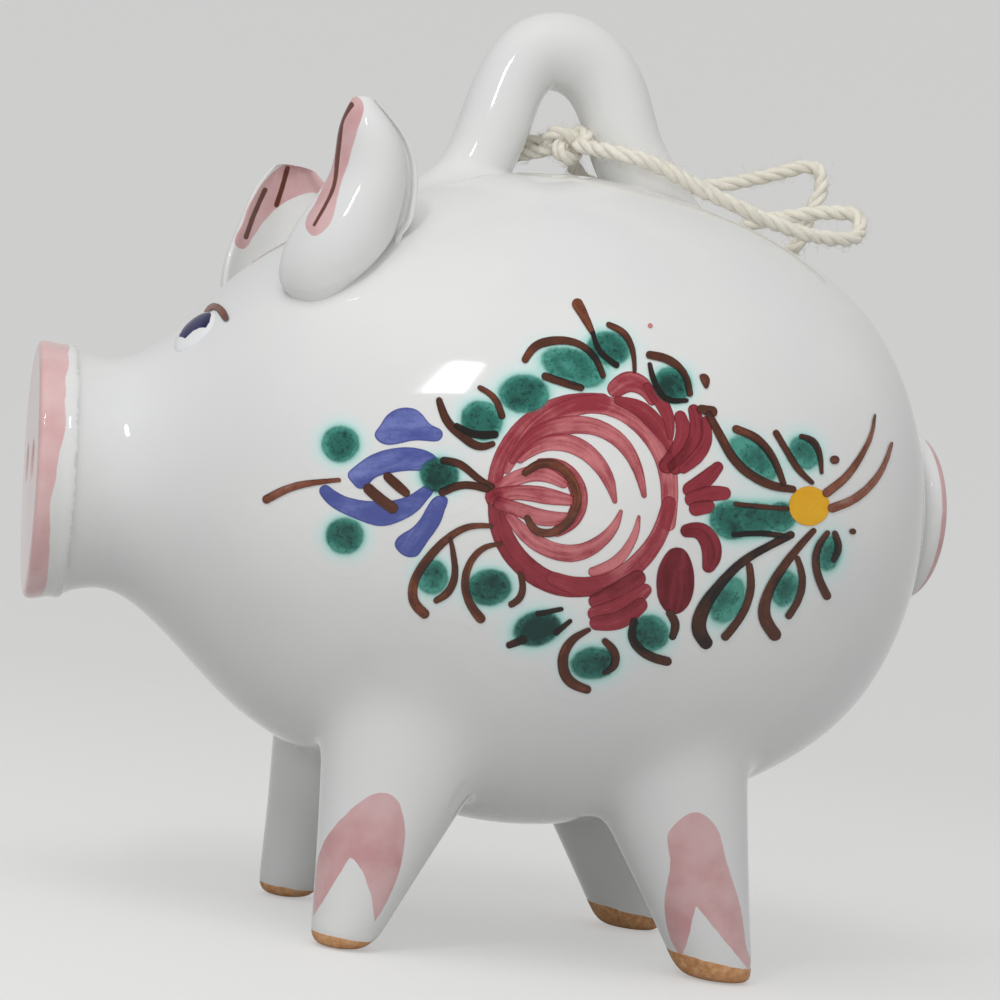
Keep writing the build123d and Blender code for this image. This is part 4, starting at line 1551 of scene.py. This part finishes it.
twineLook = {
    "diameter": 1.5,
    "plies": 3,
    "plyRadius": 0.42,
    "plyOffset": 0.37,
    "lay": 5.2,
    "spacing": 0.14,
    "sides": 10,
    "resolution": 24,
    "fuzz": {"Density": 3.6e6, "Length": 0.85, "Radius": 0.014, "Seed": 11},
    "strays": {"Density": 2.4e5, "Length": 1.15, "Radius": 0.016, "Seed": 4},
    "pale": (0.97, 0.935, 0.83, 1),
    "deep": (0.88, 0.815, 0.67, 1),
    "fibreRun": 0.9,
    "fibreRound": 3.4,
    "fibreNoise": (2.2, 5.0, 0.65),
    "fibreRange": (0.35, 0.7),
    "patchNoise": (240.0, 3.0),
    "patchShare": 0.9,
    "deepShare": 0.75,
    "shader": {
        "Roughness": 0.92, "Specular IOR Level": 0.2, "Sheen Weight": 0.35, "Subsurface Weight": 0.15,
        "Subsurface Radius": (1.0, 0.92, 0.8), "Subsurface Scale": 0.0006,
    },
    "bump": {"Strength": 0.6, "Distance": 0.0002},
    # the plies change every few millimetres along: how far they turn, swell and spread
    "changeEvery": 1.7,
    "changeRoom": 4,
    "loose": (-0.5, 0.5),
    "swell": (0.90, 1.12),
    "spread": (0.9, 1.15),
    "taper": (0.45, 0.75, 0.93),
    "tuck": 0.55,
    "firstSide": (0.3, 0.2, 1.0),
    "seeds": {"loop": 3, "knot": 8, "ends": 21},
    "knotPhase": 0.6,
    "knotSqueeze": 0.85,
    "knotCentre": (2.676, -0.5, 82.083),
}
loopStart, loopEnd = (4.105, -2.317, 81.659), (3.703, 1.510, 81.428)
twineRoute = [
    (7.0, -6.0, 80.8), (11.1, -6.7, 80.2), (15.7, -6.8, 78.5), (20.2, -7.1, 77.3), (26.2, -7.3, 75.9),
    (31.0, -6.5, 76.0), (34.7, -5.3, 77.0), (34.9, -3.8, 79.9), (32.2, -2.9, 79.8), (29.6, -1.9, 79.2),
    (26.6, -0.5, 78.4), (23.9, 1.6, 77.5), (25.2, 4.9, 76.6), (28.9, 5.4, 75.4), (31.5, 3.7, 76.4),
    (32.0, 3.0, 80.3), (33.5, 3.0, 83.9), (32.3, 3.7, 86.3), (27.7, 5.0, 84.2), (22.0, 6.1, 82.2),
    (16.4, 6.6, 80.7), (10.9, 6.8, 80.1), (6.1, 6.2, 79.9),
]
endRoutes = [
    [(1.3, 0.9, 82.5), (-0.2, 2.9, 82.3), (-2.3, 5.4, 81.7), (-4.6, 6.6, 80.9)],
    [(0.9, 0.7, 81.3), (-0.9, 2.6, 80.9), (-2.8, 5.4, 80.5), (-4.4, 7.0, 79.7)],
]


def centreline(points):
    # the points of a NURBS curve whose control points are the route, evenly spaced
    curve = bpy.data.curves.new("twine_line", "CURVE")
    curve.dimensions = "3D"
    spline = curve.splines.new("NURBS")
    spline.points.add(len(points) - 1)
    for control, spot in zip(spline.points, points):
        control.co = (*(np.array(spot) * mm), 1)
    spline.order_u = 3
    spline.use_endpoint_u = True
    spline.resolution_u = twineLook["resolution"]
    holder = bpy.data.objects.new("twine_line", curve)
    mesh = bpy.data.meshes.new_from_object(holder)
    line = np.array([v.co for v in mesh.vertices]) / mm
    bpy.data.objects.remove(holder)
    bpy.data.meshes.remove(mesh)
    return evenLine(line)


def evenLine(line):
    reach = lengthAlong(line)
    return rowsAt(np.linspace(0, reach[-1], int(reach[-1] / twineLook["spacing"]) + 2), reach, line)


def carriedFrames(line):
    # two sideways directions at each point, which turn with the line and don't twist
    along = unit(np.gradient(line, axis=0))
    side = np.empty_like(line)
    turn = np.array(twineLook["firstSide"])
    for i, way in enumerate(along):
        turn = turn - (turn @ way) * way
        turn /= np.linalg.norm(turn)
        side[i] = turn
    return along, side, np.cross(along, side)


def rollMesh(line, radii, sides):
    # a closed tube along a line, with its two ends drawn to a point
    along, side, other = carriedFrames(line)
    turns = np.linspace(0, 2 * math.pi, sides, endpoint=False)
    rings = line[:, None] + radii[:, None, None] * (
        np.cos(turns)[None, :, None] * side[:, None] + np.sin(turns)[None, :, None] * other[:, None])
    spots = np.concatenate([rings.reshape(-1, 3), line[:1] - along[:1] * radii[0] * 0.5,
                            line[-1:] + along[-1:] * radii[-1] * 0.5])
    faces = []
    last = len(line) * sides
    for i in range(len(line) - 1):
        for j in range(sides):
            k = (j + 1) % sides
            faces.append((i * sides + j, i * sides + k, (i + 1) * sides + k, (i + 1) * sides + j))
    for j in range(sides):
        k = (j + 1) % sides
        faces.append((last, k, j))
        faces.append((last + 1, last - sides + j, last - sides + k))
    spacing = twineLook["spacing"]
    reach = np.concatenate([np.repeat(np.arange(len(line)) * spacing, sides), [0, len(line) * spacing]])
    around = np.concatenate([np.tile(turns, len(line)), [0, 0]])
    return spots, faces, reach, around


def twisted(line, seed, phase=0.0, squeeze=1.0):
    # the plies, wound round the line
    look = twineLook
    rng = np.random.default_rng(seed)
    along, side, other = carriedFrames(line)
    reach = np.arange(len(line)) * look["spacing"]
    stops = np.arange(0, reach[-1] + look["changeRoom"], look["changeEvery"])

    def uneven(key):
        return np.interp(reach, stops, rng.uniform(*look[key], len(stops)))

    spots, faces, runs, turns, total = [], [], [], [], 0
    loose = uneven("loose")
    for ply in range(look["plies"]):
        swell = uneven("swell")
        offset = uneven("spread") * look["plyOffset"] * squeeze
        angle = 2 * math.pi * (reach / look["lay"] + ply / look["plies"]) + phase + loose
        place = line + offset[:, None] * (np.cos(angle)[:, None] * side + np.sin(angle)[:, None] * other)
        radii = look["plyRadius"] * swell
        radii[:3] *= look["taper"]
        radii[-3:] *= look["taper"][::-1]
        made, sheet, run, turn = rollMesh(place, radii, look["sides"])
        spots.append(made)
        faces += [tuple(n + total for n in face) for face in sheet]
        runs.append(run)
        turns.append(turn)
        total += len(made)
    return np.concatenate(spots), faces, np.concatenate(runs), np.concatenate(turns)


def twineMaterial():
    look = twineLook
    material, tree, shader = newMaterial("cotton_twine")
    where = objectPlace(tree)
    run, turn = readMark(tree, "run"), readMark(tree, "turn")
    # fibres lie along each ply, slightly slanted
    wound = add(tree, "ShaderNodeCombineXYZ", {
        0: sums(tree, "MULTIPLY", run, look["fibreRun"]),
        1: sums(tree, "MULTIPLY", sums(tree, "COSINE", turn), look["fibreRound"]),
        2: sums(tree, "MULTIPLY", sums(tree, "SINE", turn), look["fibreRound"])}).outputs[0]
    fibre = noise(tree, wound, *look["fibreNoise"])
    share = sums(tree, "MULTIPLY_ADD", sway(tree, where, *look["patchNoise"]), look["patchShare"],
                 ease(tree, fibre, *look["fibreRange"]))
    share = sums(tree, "MULTIPLY", share, look["deepShare"], clamp=True)
    tree.links.new(mixColour(tree, share, look["pale"], look["deep"]), shader.inputs["Base Color"])
    for key, value in look["shader"].items():
        shader.inputs[key].default_value = value
    bump = add(tree, "ShaderNodeBump", {"Height": fibre, **look["bump"]})
    tree.links.new(bump.outputs[0], shader.inputs["Normal"])
    return material


fuzzLook = {
    "sides": 3,
    "steps": 5,
    # a hair 1 mm long, which is then scaled
    "hair": (("Start", (0, 0, 0)), ("Start Handle", (0.25, 0, 0.35)),
             ("End Handle", (0.7, 0.1, 0.5)), ("End", (1.0, 0.3, 0.25))),
    "turnLow": (-0.5, -0.5, 0),
    "turnHigh": (0.5, 0.5, 6.283),
    "sizes": (0.35, 1.25),
}


def fuzzTree(material):
    # loose fibres: thin bent hairs scattered over the strands and joined to them
    look = fuzzLook
    tree = bpy.data.node_groups.new("twine_fuzz", "GeometryNodeTree")
    sockets = (
        ("Geometry", "INPUT", "Geometry"), ("Density", "INPUT", "Float"), ("Length", "INPUT", "Float"),
        ("Radius", "INPUT", "Float"), ("Seed", "INPUT", "Int"), ("Geometry", "OUTPUT", "Geometry"))
    for label, way, kind in sockets:
        tree.interface.new_socket(label, in_out=way, socket_type=f"NodeSocket{kind}")
    start, finish = tree.nodes.new("NodeGroupInput"), tree.nodes.new("NodeGroupOutput")
    strands, density, length, radius, seed = (start.outputs[label] for label, way, kind in sockets[:5])
    scatter = add(tree, "GeometryNodeDistributePointsOnFaces", {
        "Mesh": strands, "Density": density, "Seed": seed})
    bend = {key: [v * mm for v in spot] for key, spot in look["hair"]}
    hair = add(tree, "GeometryNodeCurvePrimitiveBezierSegment", {"Resolution": look["steps"], **bend})
    # the hair is scaled to its length, so its radius is a share of that
    thin = add(tree, "ShaderNodeMath", {0: radius, 1: length}, operation="DIVIDE")
    ring = add(tree, "GeometryNodeCurvePrimitiveCircle", {
        "Resolution": look["sides"], "Radius": thin.outputs[0]})
    tube = add(tree, "GeometryNodeCurveToMesh", {
        "Curve": hair.outputs["Curve"], "Profile Curve": ring.outputs["Curve"], "Fill Caps": True})
    spin = add(tree, "FunctionNodeRandomValue", {
        "Min": look["turnLow"], "Max": look["turnHigh"], "Seed": seed}, data_type="FLOAT_VECTOR")
    turn = add(tree, "FunctionNodeRotateRotation", {
        "Rotation": scatter.outputs["Rotation"], "Rotate By": spin.outputs["Value"]}, rotation_space="LOCAL")
    size = add(tree, "FunctionNodeRandomValue", {"Seed": seed})
    size.inputs["Min"].default_value, size.inputs["Max"].default_value = look["sizes"]
    scale = add(tree, "ShaderNodeMath", {0: size.outputs[1], 1: length}, operation="MULTIPLY")
    place = add(tree, "GeometryNodeInstanceOnPoints", {
        "Points": scatter.outputs["Points"], "Instance": tube.outputs["Mesh"],
        "Rotation": turn.outputs["Rotation"], "Scale": scale.outputs[0]})
    join = add(tree, "GeometryNodeJoinGeometry", {"Geometry": place.outputs["Instances"]})
    tree.links.new(strands, join.inputs["Geometry"])
    real = add(tree, "GeometryNodeRealizeInstances", {"Geometry": join.outputs["Geometry"]})
    dress = add(tree, "GeometryNodeSetMaterial", {
        "Geometry": real.outputs["Geometry"], "Material": material})
    tree.links.new(dress.outputs["Geometry"], finish.inputs["Geometry"])
    return tree


def strandPiece(name, strands, body, node):
    # strands with their fuzz, made into one plain mesh
    spots, faces, run, turn = strands
    holder = newObject(name + "_bare", newMesh(name, spots, faces, cotton, {"run": run, "turn": turn}))
    for kind in ("strays", "fuzz"):
        hairs = holder.modifiers.new(kind, "NODES")
        hairs.node_group = cottonFuzz
        values = dict(twineLook[kind], Radius=twineLook[kind]["Radius"] * mm)
        for item in cottonFuzz.interface.items_tree:
            if item.in_out == "INPUT" and item.name in values:
                hairs[item.identifier] = values[item.name]
    bpy.context.view_layer.update()
    graph = bpy.context.evaluated_depsgraph_get()
    made = bpy.data.meshes.new_from_object(holder.evaluated_get(graph))
    bpy.data.objects.remove(holder)
    made.shade_smooth()
    made.materials.clear()
    made.materials.append(cotton)
    piece = newObject(name, made)
    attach(piece, body)
    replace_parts(piece, node)
    return piece


knotLook = {
    "turns": (0.25, 2 * math.pi + 0.05, 160),
    "size": (0.74, 0.60),
    "flatness": (0.86, 1.72),
    "depth": 0.70,
    "tilt": (-12, -14),
}


def knotLine():
    # an overhand knot drawn tight
    look = knotLook
    t = np.linspace(*look["turns"])
    tall = look["flatness"][0] * np.cos(t) - look["flatness"][1] * np.cos(2 * t)
    flat = np.stack([np.sin(t) + 2 * np.sin(2 * t), tall], 1) * look["size"]
    places = np.stack([flat[:, 0], -np.sin(3 * t) * look["depth"], flat[:, 1]], 1)
    about, over = (math.radians(angle) for angle in look["tilt"])
    turn = Matrix.Rotation(about, 3, "Y") @ Matrix.Rotation(over, 3, "Z")
    return evenLine(places @ np.array(turn).T + np.array(twineLook["knotCentre"]))


cotton = twineMaterial()
cottonFuzz = fuzzTree(cotton)
loopLine = centreline([loopStart, *twineRoute, loopEnd])
knotCentre = np.array(twineLook["knotCentre"])
tucked = [spot + (knotCentre - spot) * twineLook["tuck"] for spot in (loopLine[0], loopLine[-1])]
longer = evenLine(np.concatenate([tucked[:1], loopLine, tucked[1:]]))
seeds = twineLook["seeds"]
loopPiece = strandPiece("twine_strands", twisted(longer, seeds["loop"]), "twine", "twine_loop")
wraps = twisted(knotLine(), seeds["knot"], twineLook["knotPhase"], twineLook["knotSqueeze"])
knotPiece = strandPiece("twine_knot_wraps", wraps, "pig", "twine_knot")
first, second = (twisted(centreline([twineLook["knotCentre"], *route]), seeds["ends"] + n, n)
                 for n, route in enumerate(endRoutes))
joinedFaces = first[1] + [tuple(n + len(first[0]) for n in face) for face in second[1]]
joinedSpots, joinedRun, joinedTurn = (np.concatenate([first[k], second[k]]) for k in (0, 2, 3))
ends = (joinedSpots, joinedFaces, joinedRun, joinedTurn)
endPiece = strandPiece("twine_cut_ends", ends, "pig", "twine_ends")
print("stage 10: twine")


stageLook = {
    "floor": (0.50, 0.50, 0.496, 1),
    "glow": 0.74,
    "roughness": 0.7,
    "specular": 0.2,
    "floorHole": 50.0,
    "floorRadius": 420.0,
    "coveRound": 350.0,
    "coveSteps": 16,
    "wallHeight": 1600.0,
    "segments": 96,
}


def stageMaterial():
    look = stageLook
    material, tree, shader = newMaterial("pale_backdrop")
    shader.inputs["Base Color"].default_value = look["floor"]
    shader.inputs["Roughness"].default_value = look["roughness"]
    shader.inputs["Specular IOR Level"].default_value = look["specular"]
    # seen straight on, in glass or in gloss it is paler than it is as a light
    path = add(tree, "ShaderNodeLightPath")
    seen = sums(tree, "MAXIMUM", path.outputs["Is Camera Ray"],
                sums(tree, "MAXIMUM", path.outputs["Is Glossy Ray"], path.outputs["Is Transmission Ray"]))
    shader.inputs["Emission Color"].default_value = look["floor"]
    tree.links.new(sums(tree, "MULTIPLY", seen, look["glow"]), shader.inputs["Emission Strength"])
    return material


def ringsMesh(name, rings, material):
    # rings of (radius, height) round the object, joined by quads, and the floor's first one is filled
    count = stageLook["segments"]
    turns = np.linspace(0, 2 * math.pi, count, endpoint=False)
    spots = [(r * math.cos(a), r * math.sin(a), z) for r, z in rings for a in turns]
    faces = [(k + i, k + count + i, k + count + (i + 1) % count, k + (i + 1) % count)
             for k in range(0, (len(rings) - 1) * count, count) for i in range(count)]
    if name == "floor":
        faces.append(tuple(range(count)))
    made = newObject(name, newMesh(name, spots, faces, material))
    return made


def buildStage():
    # a round floor, and a cove all round it that shows but lets the light in
    look = stageLook
    material = stageMaterial()
    radius, bend = look["floorRadius"], look["coveRound"]
    ringsMesh("floor", [(look["floorHole"], 0), (radius, 0)], material)
    turns = np.radians(np.linspace(0, 90, look["coveSteps"] + 1))
    rings = [(radius + bend * math.sin(turn), bend * (1 - math.cos(turn))) for turn in turns]
    cove = ringsMesh("cove", [*rings, (radius + bend, look["wallHeight"])], material)
    cove.visible_diffuse = False
    cove.visible_shadow = False


buildStage()

lampLook = {
    "world": (1.0, 1.0, 1.0, 1),
    "worldStrength": 0.42,
    "aim": (0, 0, 45),
    "key": {"pixel": (457, 377), "away": 330.0, "size": (30.0, 62.0), "power": 0.15},
    "top": {"spot": (-150.0, -200.0, 430.0), "size": (300.0, 240.0), "power": 0.60},
    "side": {"spot": (-60.0, -420.0, 40.0), "size": (300.0, 200.0), "power": 0.53},
}


def softLamp(name, spot, aim, lamp):
    data = bpy.data.lights.new(name, "AREA")
    data.shape = "RECTANGLE"
    data.size, data.size_y = lamp["size"][0] * mm, lamp["size"][1] * mm
    data.energy = lamp["power"]
    made = newObject(name, data)
    turn = Vector(np.asarray(aim) - np.asarray(spot)).to_track_quat("-Z", "Y").to_matrix().to_4x4()
    made.matrix_world = Matrix.Translation(Vector(spot) * mm) @ turn
    return made


def lightScene():
    # the key lamp stands where the glaze mirrors it at its place in the picture
    look = lampLook
    spot = skinUnder([look["key"]["pixel"]], bodyField)
    normal = unit(gradient(bodyField, spot))[0]
    ray = unit(spot[0] - camSpot)
    bounce = ray - 2 * (ray @ normal) * normal
    softLamp("key_lamp", spot[0] + bounce * look["key"]["away"], spot[0], look["key"])
    for name in ("top", "side"):
        softLamp(f"{name}_lamp", look[name]["spot"], look["aim"], look[name]).visible_glossy = False
    world = bpy.data.worlds.new("soft_room")
    bpy.context.scene.world = world
    world.use_nodes = True
    background = world.node_tree.nodes["Background"]
    background.inputs["Color"].default_value = look["world"]
    background.inputs["Strength"].default_value = look["worldStrength"]
    bpy.context.scene.view_settings.view_transform = "Standard"


lightScene()
print("stage 11: stage and light")
